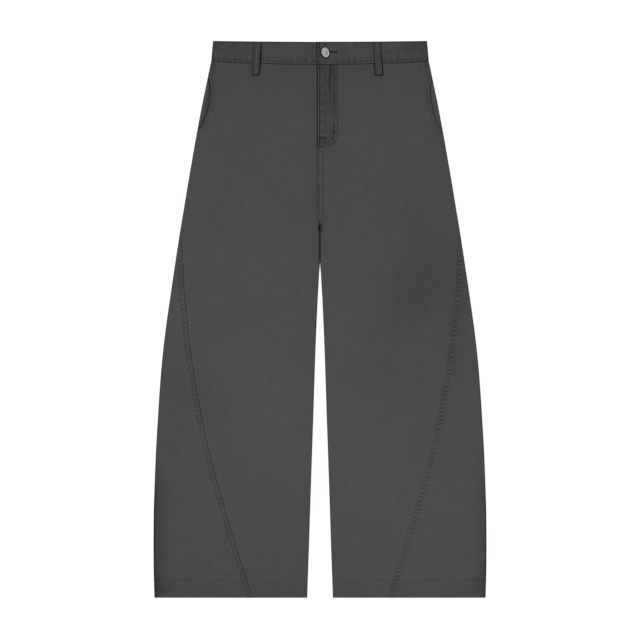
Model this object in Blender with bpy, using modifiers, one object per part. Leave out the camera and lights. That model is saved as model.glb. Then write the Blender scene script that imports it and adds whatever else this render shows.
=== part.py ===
"""Barrel leg trousers in cotton twill, laid out flat on their back and seen from the front.

X runs across the garment, Y from the hems up to the waist, Z up from the surface it lies on.
The origin is at the middle of the underside. Left and right are the wearer's, so the left leg
is at +X. Sizes are in millimetres and become metres where a mesh is made.
"""

import math
from collections import namedtuple

import bmesh
import bpy

MM = 0.001

# Walls, and the gaps between pieces at a seam and at the narrow tip of a panel
CLOTH = 1.2
HEM_WALL = 1.9
BAND_WALL = 1.9
LOOP_WALL = 1.6
GAP = 0.3
TIP_GAP = 0.6

# Rounded edge of a leg, where the front cloth turns down to meet the back
EDGE_RADIUS = 2.2
RIM_HEIGHT = 0.3
EDGE_ARC = RIM_HEIGHT + EDGE_RADIUS * math.pi / 2
RIM_LEVEL = EDGE_RADIUS + RIM_HEIGHT
FRONT_LEVEL = 2 * RIM_LEVEL + GAP
BAND_LEVEL = FRONT_LEVEL + 0.2

# Heights along the garment
HEM = -486.1
HEM_DEPTH = 31.0
HEM_RISE = 0.3
CROTCH_FRONT = 154.4
CROTCH_BACK = 101.9
CROTCH_FADE = 24.0

# The waist seam and the top edge are shallow arcs, lower at the middle than at the sides
WAIST_SEAM, WAIST_SEAM_SAG, WAIST_SEAM_REACH = 446.0, 6.0, 190.0
WAIST_TOP, WAIST_TOP_SAG, WAIST_HALF = 484.5, 1.6, 187.1
BAND_FLARE = 0.09
WAIST_FADE = 66.0

# The front stands a little higher away from the edges of a leg, but not near the waist
CROWN_RISE, CROWN_RUN = 0.6, 60.0
CROWN_FULL, CROWN_END = 340.0, 440.0

# Centre front: the left panel laps over the right one, down to the crotch
SLIT_HALF = 1.2
LAP = 7.0
LAP_START, LAP_FULL = 176.0, 194.0
SPLIT_START, SPLIT_FULL = 158.0, 172.0
LAP_RISE = 0.8
LAP_DROP = CLOTH + GAP - LAP_RISE
DROP_FAR, DROP_NEAR = 22.0, 8.0
SEAM_BAND, SEAM_SLOPE = 9.0, 3.0

# Fly: a straight outer row that turns in a quarter ellipse to the centre seam
FLY_CENTRE_X, FLY_CENTRE_Y = 9.6, 325.0
FLY_ACROSS, FLY_DOWN = 21.0, 24.6
FLY_END = FLY_CENTRE_Y - FLY_DOWN
FLY_SLOPE = 3.5

# Waistband at the centre front: the left end laps over the right one
BAND_EDGE, BAND_UNDERLAP = -5.3, 30.0
BAND_RISE, BAND_RISE_FULL, BAND_RISE_END = 0.8, 34.0, 50.0
BAND_DROP = BAND_WALL + GAP - BAND_RISE
BAND_DROP_START, BAND_DROP_FULL = -34.0, -8.0

# Barrel seam: a ditch, with the raised allowance beside it on the outer panel
DITCH_DEPTH, DITCH_WIDTH = 0.4, 1.5
ALLOWANCE, ALLOWANCE_RISE, ALLOWANCE_SLOPE = 9.0, 0.8, 3.0
SIDE_TIP = 143.0

# Pocket facing: level with the front in the opening, tucked under it for most of its length
FACING_UNDER, FACING_SLOPE, FACING_LIP = 12.0, 4.0, 0.5
FACING_DROP = CLOTH + GAP + DITCH_DEPTH
FACING_SINKS, FACING_RISES = (341.0, 350.0), (402.0, 411.0)
FACING_TUCKS, FACING_LEAVES = (350.0, 356.0), (396.0, 402.0)

# Belt loops
LOOP_WIDTH, LOOP_BOTTOM, LOOP_ARCH, LOOP_SEWN, LOOP_CORNER = 12.2, 426.6, 1.3, 7.0, 1.2
LOOP_LEVEL = BAND_LEVEL + GAP + LOOP_WALL
LOOP_COLUMNS, LOOP_ROWS = 4, 13

# Jeans button, leaning on its upright shank, and the buttonhole
BUTTON_X, BUTTON_Y, BUTTON_LEVEL = 9.5, 467.1, 12.8
BUTTON_RADIUS, BUTTON_THICK, BUTTON_RIM, BUTTON_DISH = 8.8, 2.6, 1.4, 0.5
BUTTON_TILT, BUTTON_TURN = math.radians(42.0), math.radians(19.8)
BUTTON_STEPS = 28
SHANK_RADIUS = 1.7
HOLE_RADIUS, HOLE_SLIT, HOLE_END, HOLE_END_RADIUS = 2.2, 0.9, 28.9, 0.9

# Columns of a panel, as runs round its edge from the rim, and the number between the edges
OUTER_RUNS = (0.0, RIM_HEIGHT, 1.45, 2.6, EDGE_ARC)
INNER_RUNS = (0.0, RIM_HEIGHT, 2.0, EDGE_ARC)
LAP_RUNS = (9.2, 12.4)
FLY_RUNS = (34.5, 39.0)
MIDDLE_COLUMNS = 2
ALLOWANCE_RUNS = (ALLOWANCE + ALLOWANCE_SLOPE, ALLOWANCE, 4.5, DITCH_WIDTH, 0.0)
BAND_STOPS = (150.0, 110.0, 70.0, 50.0, 42.0, 34.0, 24.0, 16.0, 8.0)
BACK_BAND_STOPS = (110.0, 0.0, -110.0)
BAND_ROWS = 3

# Rows of a panel: levels where its shape changes, and an even run down the leg
HEM_ROWS = (HEM, HEM + HEM_DEPTH - 1, HEM + HEM_DEPTH + 1)
FLY_LEVELS = (297.0, FLY_END, 303.5, 309.5, 317.5)
CROTCH_LEVELS = (153.4, CROTCH_FRONT, 158.4, 163.4, 169.4, 176.4, 184.4, 196.4)
FRONT_LEVELS = (60.0, 86.2, CROTCH_BACK, 120.0, 135.0, 147.0, 235.0, 265.0, 437.0, WAIST_SEAM)
SEAT_LEVELS = (150.0, 200.0, 250.0, 300.0, 340.0, 375.0, 400.0, 430.0, WAIST_SEAM)
BACK_CROTCH_LEVELS = (74.0, 84.0, 90.0, 96.0, CROTCH_BACK + 1)
SIDE_LEVELS = (86.0, 104.0, 118.0, 127.0, 135.0, SIDE_TIP)
FACING_LEVELS = (
    334.0, 337.0, 340.0, 345.0, 350.0, 353.0, 356.0, 367.0,
    382.0, 396.0, 399.0, 402.0, 406.0, 410.0, 415.0, 420.0,
)

Row = namedtuple("Row", "y x")

OUTER_EDGE = (
    Row(452.0, 190.2), Row(427.4, 195.6), Row(401.2, 200.9), Row(374.9, 206.2),
    Row(322.4, 215.8), Row(243.7, 229.5), Row(191.2, 238.2), Row(138.7, 246.8),
    Row(86.2, 254.8), Row(33.7, 262.5), Row(-18.8, 269.9), Row(-71.3, 275.9),
    Row(-123.8, 280.2), Row(-176.3, 283.6), Row(-228.8, 286.7), Row(-281.3, 288.8),
    Row(-333.8, 290.5), Row(-386.3, 291.0), Row(-438.8, 290.7), Row(HEM, 289.4),
)

INNER_EDGE = (
    Row(CROTCH_FRONT, SLIT_HALF), Row(CROTCH_BACK, SLIT_HALF), Row(86.2, 1.7),
    Row(59.9, 3.2), Row(33.7, 4.5), Row(-18.8, 6.8), Row(-71.3, 8.8),
    Row(-176.3, 12.2), Row(-281.3, 15.8), Row(-386.3, 19.2), Row(HEM, 22.7),
)

BARREL_SEAM = (
    Row(147.0, 245.4), Row(135.0, 243.1), Row(103.7, 241.2), Row(51.2, 238.2),
    Row(-1.3, 232.9), Row(-53.8, 227.5), Row(-106.3, 219.3), Row(-158.8, 210.0),
    Row(-211.3, 199.3), Row(-263.8, 185.9), Row(-316.3, 171.7), Row(-368.8, 156.1),
    Row(-421.3, 140.0), Row(HEM, 118.1),
)

CENTRE_SEAM = (
    Row(CROTCH_FRONT, 0.0), Row(168.0, -2.2), Row(182.0, -4.2), Row(200.0, -4.7),
    Row(300.0, -4.8), Row(330.0, -5.1), Row(446.0, -5.1),
)

# Here x is how far the pocket opening lies in from the side edge
POCKET_DEPTH = (
    Row(424.0, 0.0), Row(415.0, 3.6), Row(407.0, 6.7), Row(396.0, 8.5), Row(380.0, 9.9),
    Row(367.0, 10.2), Row(353.0, 8.6), Row(340.0, 4.9), Row(331.0, 0.0),
)

Loop = namedtuple("Loop", "name x_top x_bottom")

LOOPS = (
    Loop("belt_loop_right", -108.9, -112.7),
    Loop("belt_loop_left", 100.3, 103.6),
)

Finish = namedtuple("Finish", "colour roughness metallic")

TWILL = Finish((0.0666, 0.0704, 0.0648), 0.85, 0.0)
TWILL_BAND = Finish((0.0529, 0.0561, 0.0513), 0.85, 0.0)
NICKEL = Finish((0.46, 0.43, 0.39), 0.35, 1.0)


class Curve:
    """A smooth curve x(y) through the rows of a table, held at its ends beyond them."""

    def __init__(self, rows):
        ordered = sorted(rows)
        self.ys = [row.y for row in ordered]
        self.xs = [row.x for row in ordered]
        last = len(ordered) - 1
        self.slopes = []
        for index in range(len(ordered)):
            low, high = max(index - 1, 0), min(index + 1, last)
            rise = self.xs[high] - self.xs[low]
            self.slopes.append(rise / (self.ys[high] - self.ys[low]))

    def __call__(self, y):
        y = min(max(y, self.ys[0]), self.ys[-1])
        index = 0
        while index < len(self.ys) - 2 and y > self.ys[index + 1]:
            index += 1
        span = self.ys[index + 1] - self.ys[index]
        t = (y - self.ys[index]) / span
        return (
            (2 * t**3 - 3 * t**2 + 1) * self.xs[index]
            + (t**3 - 2 * t**2 + t) * span * self.slopes[index]
            + (3 * t**2 - 2 * t**3) * self.xs[index + 1]
            + (t**3 - t**2) * span * self.slopes[index + 1]
        )


outer_edge = Curve(OUTER_EDGE)
inner_edge = Curve(INNER_EDGE)
barrel_seam = Curve(BARREL_SEAM)
centre_seam = Curve(CENTRE_SEAM)
pocket_depth = Curve(POCKET_DEPTH)


def ramp(value, start, end):
    """0 at start and 1 at end, with a smooth rise between them."""
    t = min(max((value - start) / (end - start), 0.0), 1.0)
    return t * t * (3.0 - 2.0 * t)


def mix(a, b, share):
    return a + (b - a) * share


def edge_profile(run, rounding=1.0):
    """How far in and how far down a point lies that is run round the edge from its rim.

    With a rounding of 0 the edge is cut square and the run is straight across the flat.
    """
    angle = min(max((run - RIM_HEIGHT) / EDGE_RADIUS, 0.0), math.pi / 2)
    inward = EDGE_RADIUS * (1 - math.cos(angle)) + max(run - EDGE_ARC, 0.0)
    down = EDGE_RADIUS * (1 - math.sin(angle)) + max(RIM_HEIGHT - run, 0.0)
    return mix(run, inward, rounding), rounding * down


def run_to(depth):
    """The run round the edge that ends a given depth in from it, seen from above."""
    if depth <= 0:
        return 0.0
    if depth < EDGE_RADIUS:
        return RIM_HEIGHT + EDGE_RADIUS * math.acos(1 - depth / EDGE_RADIUS)
    return EDGE_ARC + depth - EDGE_RADIUS


def flatness(down):
    """Share of a panel's lift that a point on its rounded edge takes."""
    return max(1 - down / RIM_LEVEL, 0.0)


def waist_seam(x):
    return WAIST_SEAM + WAIST_SEAM_SAG * (x / WAIST_SEAM_REACH) ** 2


def waist_top(x):
    return WAIST_TOP + WAIST_TOP_SAG * (x / WAIST_HALF) ** 2


def bent_to_waist(x, y):
    """A row near the waist follows the arc of the waist seam, and the last one ends under it."""
    share = ramp(y, WAIST_SEAM - WAIST_FADE, WAIST_SEAM)
    end = GAP / 2 if y == WAIST_SEAM else 0.0
    return y + share * (waist_seam(x) - WAIST_SEAM) - end


def pocket_run(y):
    """Run from the side rim to the pocket opening, 0 above and below it."""
    if not POCKET_DEPTH[-1].y < y < POCKET_DEPTH[0].y:
        return 0.0
    return run_to(pocket_depth(y))


def seam_run(y):
    """Run from the side rim to the barrel seam, 0 above its top."""
    if y >= BARREL_SEAM[0].y:
        return 0.0
    return run_to(outer_edge(y) - barrel_seam(y))


def ditch(run):
    """Depth that the cloth rolls down at the lip of a seam or opening."""
    share = max(1 - run / DITCH_WIDTH, 0.0)
    return DITCH_DEPTH * share * share


def crown(x, y):
    """Rise of the front away from the edges of a leg."""
    from_inner = abs(x) - inner_edge(y) + 2 * max(y - CROTCH_FRONT, 0.0)
    nearest = min(outer_edge(y) - abs(x), from_inner)
    share = 1 - max(1 - max(nearest, 0.0) / CROWN_RUN, 0.0) ** 2
    return CROWN_RISE * share * (1 - ramp(y, CROWN_FULL, CROWN_END))


def hem_rise(y):
    """The turned-up hem lifts the cloth over its depth."""
    return HEM_RISE * (1 - ramp(y, HEM_ROWS[1], HEM_ROWS[2]))


def fly_share(x, y):
    """1 on the stitched fly and on the band beside the centre seam, 0 away from them."""
    band_edge = centre_seam(y) + SEAM_BAND
    on_band = 1 - ramp(x, band_edge, band_edge + SEAM_SLOPE)
    if y < FLY_END - FLY_SLOPE:
        return on_band
    across = max(x - FLY_CENTRE_X, 0.0) / FLY_ACROSS
    down = max(FLY_CENTRE_Y - y, 0.0) / FLY_DOWN
    beyond = (math.hypot(across, down) - 1) * FLY_ACROSS
    return max(on_band, 1 - ramp(beyond, 0.0, FLY_SLOPE))


def front_edge(side, y):
    """Inner edge of a front, as a distance from the middle plane towards its own side."""
    if y <= CROTCH_FRONT:
        return inner_edge(y)
    half = mix(SLIT_HALF, GAP / 2, ramp(y, CROTCH_FRONT, CROTCH_LEVELS[3]))
    if side > 0:
        return centre_seam(y) + half
    return -centre_seam(y) + half - LAP * ramp(y, LAP_START, LAP_FULL)


def front_lift(side, x, y):
    """Height of a front panel above its flat level, away from its rounded edges.

    The fronts part in height above the crotch, so that the left one can lap over the right.
    """
    lift = crown(x, y) + hem_rise(y)
    parted = ramp(y, SPLIT_START, SPLIT_FULL)
    if side > 0:
        return lift + LAP_RISE * parted * fly_share(x, y)
    seam = centre_seam(y)
    return lift - LAP_DROP * parted * ramp(x, seam - DROP_FAR, seam - DROP_NEAR)


def front_point(side, y, column, inner_runs):
    """Distance from the middle plane and depth below the flat of a point of a front panel.

    The first columns lie along its outer edge, the last ones along its inner edge.
    """
    start = max(pocket_run(y), seam_run(y))
    outer, inner = outer_edge(y), front_edge(side, y)
    rounding = 1 - ramp(y, CROTCH_FRONT, SPLIT_START)
    past_outer = column - len(OUTER_RUNS)
    if past_outer < 0:
        run = OUTER_RUNS[column]
        inward, down = edge_profile(start + run)
        rolled = ditch(run) * ramp(start, 0.0, EDGE_ARC)
        return outer - inward, down + rolled
    if past_outer >= MIDDLE_COLUMNS:
        inward, down = edge_profile(inner_runs[MIDDLE_COLUMNS - 1 - past_outer], rounding)
        return inner + inward, down
    first = outer - edge_profile(start + OUTER_RUNS[-1])[0]
    last = inner + edge_profile(inner_runs[-1], rounding)[0]
    return mix(first, last, (past_outer + 1) / (MIDDLE_COLUMNS + 1)), 0.0


def back_point(y, column):
    """Distance from the middle plane and height of a point of a back panel's underside."""
    rounding = 1 - ramp(y, CROTCH_BACK - CROTCH_FADE, CROTCH_BACK)
    outer, inner = outer_edge(y), mix(GAP / 2, inner_edge(y), rounding)
    past_outer = column - len(OUTER_RUNS)
    if past_outer < 0:
        inward, up = edge_profile(OUTER_RUNS[column])
        return outer - inward, up
    if past_outer >= MIDDLE_COLUMNS:
        inward, up = edge_profile(INNER_RUNS[MIDDLE_COLUMNS - 1 - past_outer], rounding)
        return inner + inward, up
    first, last = outer - EDGE_RADIUS, inner + edge_profile(EDGE_ARC, rounding)[0]
    return mix(first, last, (past_outer + 1) / (MIDDLE_COLUMNS + 1)), 0.0


def new_material(name, finish):
    material = bpy.data.materials.new(name)
    material.use_nodes = True
    shader = material.node_tree.nodes["Principled BSDF"]
    shader.inputs["Base Color"].default_value = (*finish.colour, 1.0)
    shader.inputs["Roughness"].default_value = finish.roughness
    shader.inputs["Metallic"].default_value = finish.metallic
    return material


def new_object(name, mesh, finish, collection):
    mesh.materials.append(new_material(name + "_finish", finish))
    item = bpy.data.objects.new(name, mesh)
    collection.objects.link(item)
    return item


def cloth_panel(name, columns, rows, place, finish, collection, faces_up=True, wall=CLOTH,
                hem_wall=None):
    """A grid of cloth whose outer face is placed point by point, with its wall inside it.

    place(column, row) gives a point in millimetres. A hem wall is the thickness below the top
    of the turned-up hem.
    """
    shape = bmesh.new()
    bmesh.ops.create_grid(shape, x_segments=columns - 1, y_segments=rows - 1, size=1.0)
    for vert in shape.verts:
        column = round((vert.co.x + 1) / 2 * (columns - 1))
        row = round((vert.co.y + 1) / 2 * (rows - 1))
        vert.co = [value * MM for value in place(column, row)]
    shape.normal_update()
    looks_up = sum(face.normal.z * face.calc_area() for face in shape.faces) > 0
    if looks_up != faces_up:
        bmesh.ops.reverse_faces(shape, faces=shape.faces[:])
    mesh = bpy.data.meshes.new(name)
    shape.to_mesh(mesh)
    shape.free()
    mesh.shade_smooth()
    item = new_object(name, mesh, finish, collection)
    solidify = item.modifiers.new("wall", "SOLIDIFY")
    solidify.offset = -1.0
    solidify.use_even_offset = True
    solidify.thickness = (hem_wall or wall) * MM
    if hem_wall:
        group = item.vertex_groups.new(name="hem")
        top = (HEM + HEM_DEPTH) * MM
        group.add([vert.index for vert in mesh.vertices if vert.co.y < top], 1.0, "REPLACE")
        solidify.vertex_group = group.name
        solidify.thickness_vertex_group = wall / hem_wall
    return item


def make_front(side, name, collection):
    """The main front panel of one leg, from the waist seam to the hem."""
    inner_runs = INNER_RUNS + LAP_RUNS + (FLY_RUNS if side > 0 else ())
    leg = tuple(20.0 - 53.0 * step for step in range(9))
    pocket = tuple(row.y for row in POCKET_DEPTH)
    rows = sorted(HEM_ROWS + leg + FRONT_LEVELS + CROTCH_LEVELS + FLY_LEVELS + pocket)

    def place(column, row):
        y = bent_to_waist(front_point(side, rows[row], column, inner_runs)[0], rows[row])
        x, down = front_point(side, y, column, inner_runs)
        lift = front_lift(side, side * x, y) * flatness(down)
        return side * x, y, FRONT_LEVEL - down + lift

    columns = len(OUTER_RUNS) + MIDDLE_COLUMNS + len(inner_runs)
    return cloth_panel(name, columns, len(rows), place, TWILL, collection, hem_wall=HEM_WALL)


def make_side(side, name, collection):
    """The outer barrel panel of one leg, between the side edge and the barrel seam."""
    leg = tuple(53.0 - 56.0 * step for step in range(9))
    rows = sorted(HEM_ROWS + leg + SIDE_LEVELS)
    full_width = EDGE_ARC + ALLOWANCE_RUNS[0] + 2.0
    columns = len(OUTER_RUNS) + len(ALLOWANCE_RUNS)

    def place(column, row):
        y = rows[row]
        seam = seam_run(y)
        end = seam - mix(TIP_GAP, GAP, ramp(seam, EDGE_ARC, 2 * EDGE_ARC))
        share = min(end / full_width, 1.0)
        if column < len(OUTER_RUNS):
            run = OUTER_RUNS[column] * share
        else:
            run = end - ALLOWANCE_RUNS[column - len(OUTER_RUNS)] * share
        inward, down = edge_profile(run)
        x = outer_edge(y) - inward
        rise = ALLOWANCE_RISE * ramp(end, EDGE_ARC, full_width)
        rise *= 1 - ramp(end - run, ALLOWANCE, ALLOWANCE + ALLOWANCE_SLOPE)
        lift = (crown(x, y) + hem_rise(y) + rise) * flatness(down)
        rolled = ditch(end - run) * ramp(end, 0.0, EDGE_ARC)
        return side * x, y, FRONT_LEVEL - down + lift - rolled

    return cloth_panel(name, columns, len(rows), place, TWILL, collection, hem_wall=HEM_WALL)


def make_facing(side, name, collection):
    """The pocket facing: it fills the opening out to the side edge and tucks under the front."""
    slope = (-FACING_SLOPE - FACING_LIP, -FACING_SLOPE / 2 - FACING_LIP, -FACING_LIP)
    columns = len(OUTER_RUNS) + len(slope) + 1

    def place(column, row):
        y = FACING_LEVELS[row]
        opening = pocket_run(y)
        sunk_share = ramp(y, *FACING_SINKS) * (1 - ramp(y, *FACING_RISES))
        tucked = ramp(y, *FACING_TUCKS) * (1 - ramp(y, *FACING_LEAVES))
        beside = (opening - TIP_GAP) * column / (columns - 1)
        under = OUTER_RUNS + tuple(opening + run for run in slope + (FACING_UNDER,))
        run = mix(beside, under[column], tucked)
        inward, down = edge_profile(run)
        x = outer_edge(y) - inward
        sunk = FACING_DROP * sunk_share * ramp(run, opening + slope[0], opening + slope[-1])
        return side * x, y, FRONT_LEVEL - down + crown(x, y) * flatness(down) - sunk

    return cloth_panel(name, columns, len(FACING_LEVELS), place, TWILL, collection)


def make_back(side, name, collection):
    """One back leg panel. Its outer face is the flat underside, rounded up at its edges."""
    leg = tuple(35.0 - 61.0 * step for step in range(8))
    rows = sorted(HEM_ROWS + leg + BACK_CROTCH_LEVELS + SEAT_LEVELS)

    def place(column, row):
        y = bent_to_waist(back_point(rows[row], column)[0], rows[row])
        x, up = back_point(y, column)
        return side * x, y, up

    columns = len(OUTER_RUNS) + MIDDLE_COLUMNS + len(INNER_RUNS)
    return cloth_panel(name, columns, len(rows), place, TWILL, collection, faces_up=False,
                       hem_wall=HEM_WALL)


def band_point(x, share):
    """A point of the waistband in plan, from its seam at share 0 to its top edge at 1."""
    return x, mix(waist_seam(x) + GAP / 2, waist_top(x), share)


def band_side_point(run, share):
    """A point on the waistband's rounded side edge: place in plan, and depth below the flat."""
    inward, down = edge_profile(run)
    x, y = band_point(WAIST_HALF, share)
    x, y = band_point(x + BAND_FLARE * (waist_top(WAIST_HALF) - y) - inward, share)
    return x, y, down


def make_front_band(side, name, collection, end, lift):
    """A front half of the waistband, from the side edge to its end past the centre."""
    stops = BAND_STOPS + (end,)

    def place(column, row):
        share = row / (BAND_ROWS - 1)
        if column < len(OUTER_RUNS):
            x, y, down = band_side_point(OUTER_RUNS[column], share)
            rise = (BAND_LEVEL - FRONT_LEVEL) * flatness(down)
            return side * x, y, FRONT_LEVEL - down + rise
        x, y = band_point(side * stops[column - len(OUTER_RUNS)], share)
        return x, y, BAND_LEVEL + lift(x)

    columns = len(OUTER_RUNS) + len(stops)
    return cloth_panel(name, columns, BAND_ROWS, place, TWILL_BAND, collection, wall=BAND_WALL)


def make_back_band(name, collection):
    """The back of the waistband, flat underneath and rounded up at both sides."""
    edge = len(OUTER_RUNS)
    columns = 2 * edge + len(BACK_BAND_STOPS)

    def place(column, row):
        share = row / (BAND_ROWS - 1)
        if edge <= column < columns - edge:
            x, y = band_point(BACK_BAND_STOPS[column - edge], share)
            return x, y, 0.0
        side, run = (1, column) if column < edge else (-1, columns - 1 - column)
        x, y, up = band_side_point(OUTER_RUNS[run], share)
        return side * x, y, up

    return cloth_panel(name, columns, BAND_ROWS, place, TWILL_BAND, collection, faces_up=False,
                       wall=BAND_WALL)


def make_loop(loop, collection):
    """A belt loop, sewn down at both ends and a little arched between them."""
    top = waist_top(loop.x_top) - GAP
    low, high = LOOP_BOTTOM + LOOP_SEWN, top - LOOP_SEWN / 2

    def place(column, row):
        along, across = row / (LOOP_ROWS - 1), column / (LOOP_COLUMNS - 1)
        y = mix(LOOP_BOTTOM, top, along)
        x = mix(loop.x_bottom, loop.x_top, along) + LOOP_WIDTH * (across - 0.5)
        arch = math.sin(math.pi * min(max((y - low) / (high - low), 0.0), 1.0)) ** 2
        corner = LOOP_CORNER if row == 0 and across in (0.0, 1.0) else 0.0
        return x, y + corner, LOOP_LEVEL + LOOP_ARCH * arch

    return cloth_panel(loop.name, LOOP_COLUMNS, LOOP_ROWS, place, TWILL_BAND, collection,
                       wall=LOOP_WALL)


def new_cutter(name, shape, x, y, z, cutters):
    """An object that cuts or joins, made from a mesh in metres and put at a place in mm."""
    mesh = bpy.data.meshes.new(name)
    shape.to_mesh(mesh)
    shape.free()
    cutter = bpy.data.objects.new(name, mesh)
    cutter.location = (x * MM, y * MM, z * MM)
    cutter.hide_render = True
    cutter.display_type = "WIRE"
    cutters.objects.link(cutter)
    return cutter


def cylinder(name, radius, low, high, x, y, cutters):
    shape = bmesh.new()
    bmesh.ops.create_cone(shape, cap_ends=True, segments=16, radius1=radius * MM,
                          radius2=radius * MM, depth=(high - low) * MM)
    return new_cutter(name, shape, x, y, (low + high) / 2, cutters)


def block(name, x_low, x_high, y, width, low, high, cutters):
    shape = bmesh.new()
    bmesh.ops.create_cube(shape, size=1.0)
    size = ((x_high - x_low) * MM, width * MM, (high - low) * MM)
    bmesh.ops.scale(shape, vec=size, verts=shape.verts[:])
    return new_cutter(name, shape, (x_low + x_high) / 2, y, (low + high) / 2, cutters)


def apply_boolean(item, cutter, operation="DIFFERENCE"):
    boolean = item.modifiers.new(cutter.name, "BOOLEAN")
    boolean.operation = operation
    boolean.solver = "EXACT"
    boolean.object = cutter


def make_button(collection, cutters):
    """A plain jeans button: a rimmed, slightly dished cap that leans on an upright shank."""
    radius, half = BUTTON_RADIUS, BUTTON_THICK / 2
    profile = (
        (0.0, half - BUTTON_DISH), (radius - BUTTON_RIM - 0.7, half - BUTTON_DISH),
        (radius - BUTTON_RIM, half), (radius - 0.5, half), (radius, 0.5), (radius, -0.3),
        (radius - 1.2, -half), (0.0, -half),
    )
    mesh = bpy.data.meshes.new("button")
    points = [(across * MM, 0.0, height * MM) for across, height in profile]
    mesh.from_pydata(points, [(i, i + 1) for i in range(len(points) - 1)], [])
    cap = new_object("button", mesh, NICKEL, collection)
    screw = cap.modifiers.new("turn", "SCREW")
    screw.steps = screw.render_steps = BUTTON_STEPS
    screw.use_merge_vertices = True
    screw.merge_threshold = 0.00001
    screw.use_smooth_shade = True
    cap.location = (BUTTON_X * MM, BUTTON_Y * MM, BUTTON_LEVEL * MM)
    cap.rotation_euler = (0.0, BUTTON_TILT, BUTTON_TURN)
    foot = BAND_LEVEL - BAND_DROP + GAP
    shank = cylinder("shank", SHANK_RADIUS, foot, BUTTON_LEVEL, BUTTON_X, BUTTON_Y, cutters)
    apply_boolean(cap, shank, "UNION")
    return cap


def cut_buttonhole(band, cutters):
    """The hole in the left half of the waistband: a slit with a round eye at the shank."""
    low, high = BAND_LEVEL - BAND_WALL - 1.0, BAND_LEVEL + BAND_RISE + 1.0
    eye = cylinder("eye", HOLE_RADIUS, low, high, BUTTON_X, BUTTON_Y, cutters)
    slit = block("slit", BUTTON_X, HOLE_END, BUTTON_Y, HOLE_SLIT, low, high, cutters)
    end = cylinder("slit_end", HOLE_END_RADIUS, low, high, HOLE_END, BUTTON_Y, cutters)
    for cutter in (eye, slit, end):
        apply_boolean(band, cutter)


def main():
    for item in list(bpy.data.objects):
        bpy.data.objects.remove(item)
    trousers = bpy.data.collections.new("barrel_leg_trousers")
    cutters = bpy.data.collections.new("cutters")
    for collection in (trousers, cutters):
        bpy.context.scene.collection.children.link(collection)

    for side, word in ((-1, "right"), (1, "left")):
        make_front(side, "front_" + word, trousers)
        make_side(side, "side_" + word, trousers)
        make_back(side, "back_" + word, trousers)
        make_facing(side, "pocket_facing_" + word, trousers)

    def sinks(x):
        return -BAND_DROP * ramp(x, BAND_DROP_START, BAND_DROP_FULL)

    def rises(x):
        return BAND_RISE * (1 - ramp(x, BAND_RISE_FULL, BAND_RISE_END))

    make_front_band(-1, "waistband_right", trousers, -BAND_UNDERLAP, sinks)
    band = make_front_band(1, "waistband_left", trousers, BAND_EDGE, rises)
    cut_buttonhole(band, cutters)
    make_back_band("waistband_back", trousers)
    for loop in LOOPS:
        make_loop(loop, trousers)
    make_button(trousers, cutters)


main()
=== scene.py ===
"""Looks of the barrel leg trousers: twill, seams, stitching, button, floor, light and camera.

X runs across the garment, Y from the hems up to the waist, Z up. Left and right are the
wearer's. Sizes are in millimetres, as in the part's source, and become metres where a mesh is
made. A point's place across a leg is given as its distance out from the middle plane.
"""

import math
from collections import namedtuple

import bpy
import numpy as np
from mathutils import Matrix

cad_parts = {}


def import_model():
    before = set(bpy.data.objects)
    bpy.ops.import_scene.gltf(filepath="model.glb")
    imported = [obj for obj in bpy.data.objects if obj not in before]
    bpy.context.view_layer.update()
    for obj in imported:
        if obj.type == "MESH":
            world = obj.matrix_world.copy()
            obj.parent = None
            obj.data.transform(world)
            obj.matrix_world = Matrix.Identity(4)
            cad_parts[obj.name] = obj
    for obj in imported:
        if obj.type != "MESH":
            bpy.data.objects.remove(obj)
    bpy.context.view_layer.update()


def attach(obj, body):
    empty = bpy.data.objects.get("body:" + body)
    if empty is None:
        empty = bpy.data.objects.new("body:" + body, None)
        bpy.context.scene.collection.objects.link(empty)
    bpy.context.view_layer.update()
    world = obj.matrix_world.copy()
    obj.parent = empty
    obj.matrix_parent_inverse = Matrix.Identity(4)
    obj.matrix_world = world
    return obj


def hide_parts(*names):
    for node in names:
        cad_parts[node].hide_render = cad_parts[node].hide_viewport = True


MM = 0.001
SIDES = ((-1, "right"), (1, "left"))

# Walls, and the gaps between pieces at a seam and at the narrow tip of a panel
CLOTH = 1.2
HEM_WALL = 1.9
BAND_WALL = 1.9
LOOP_WALL = 1.6
GAP = 0.3
BACK_GAP = 0.04
TIP_GAP = 0.6

# The cloth's fuzz stands out a little from the solids' edge
EDGE_FUZZ = 0.6

# Rounded edge of a leg, where the front cloth turns down to meet the back
EDGE_RADIUS = 2.2
RIM_HEIGHT = 0.3
EDGE_ARC = RIM_HEIGHT + EDGE_RADIUS * math.pi / 2
RIM_LEVEL = EDGE_RADIUS + RIM_HEIGHT
FRONT_LEVEL = 2 * RIM_LEVEL + GAP
BAND_LEVEL = FRONT_LEVEL + 0.2

# Heights along the garment
HEM = -487.5
HEM_DEPTH = 32.4
HEM_RISE = 0.3
CROTCH_FRONT = 154.4
CROTCH_BACK = 101.9
CROTCH_FADE = 24.0

# The waist seam and the top edge are shallow arcs, lower at the middle than at the sides
WAIST_SEAM, WAIST_SEAM_SAG, WAIST_SEAM_REACH = 446.0, 6.0, 190.0
WAIST_TOP, WAIST_TOP_SAG, WAIST_HALF = 485.75, 1.5, 187.4
BAND_FLARE = 0.09
BAND_START = WAIST_HALF - EDGE_RADIUS - 1.0
WAIST_FADE = 66.0

# The front stands a little higher away from the edges of a leg, but not near the waist
CROWN_RISE, CROWN_RUN = 0.6, 60.0
CROWN_FULL, CROWN_END = 340.0, 440.0

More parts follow.
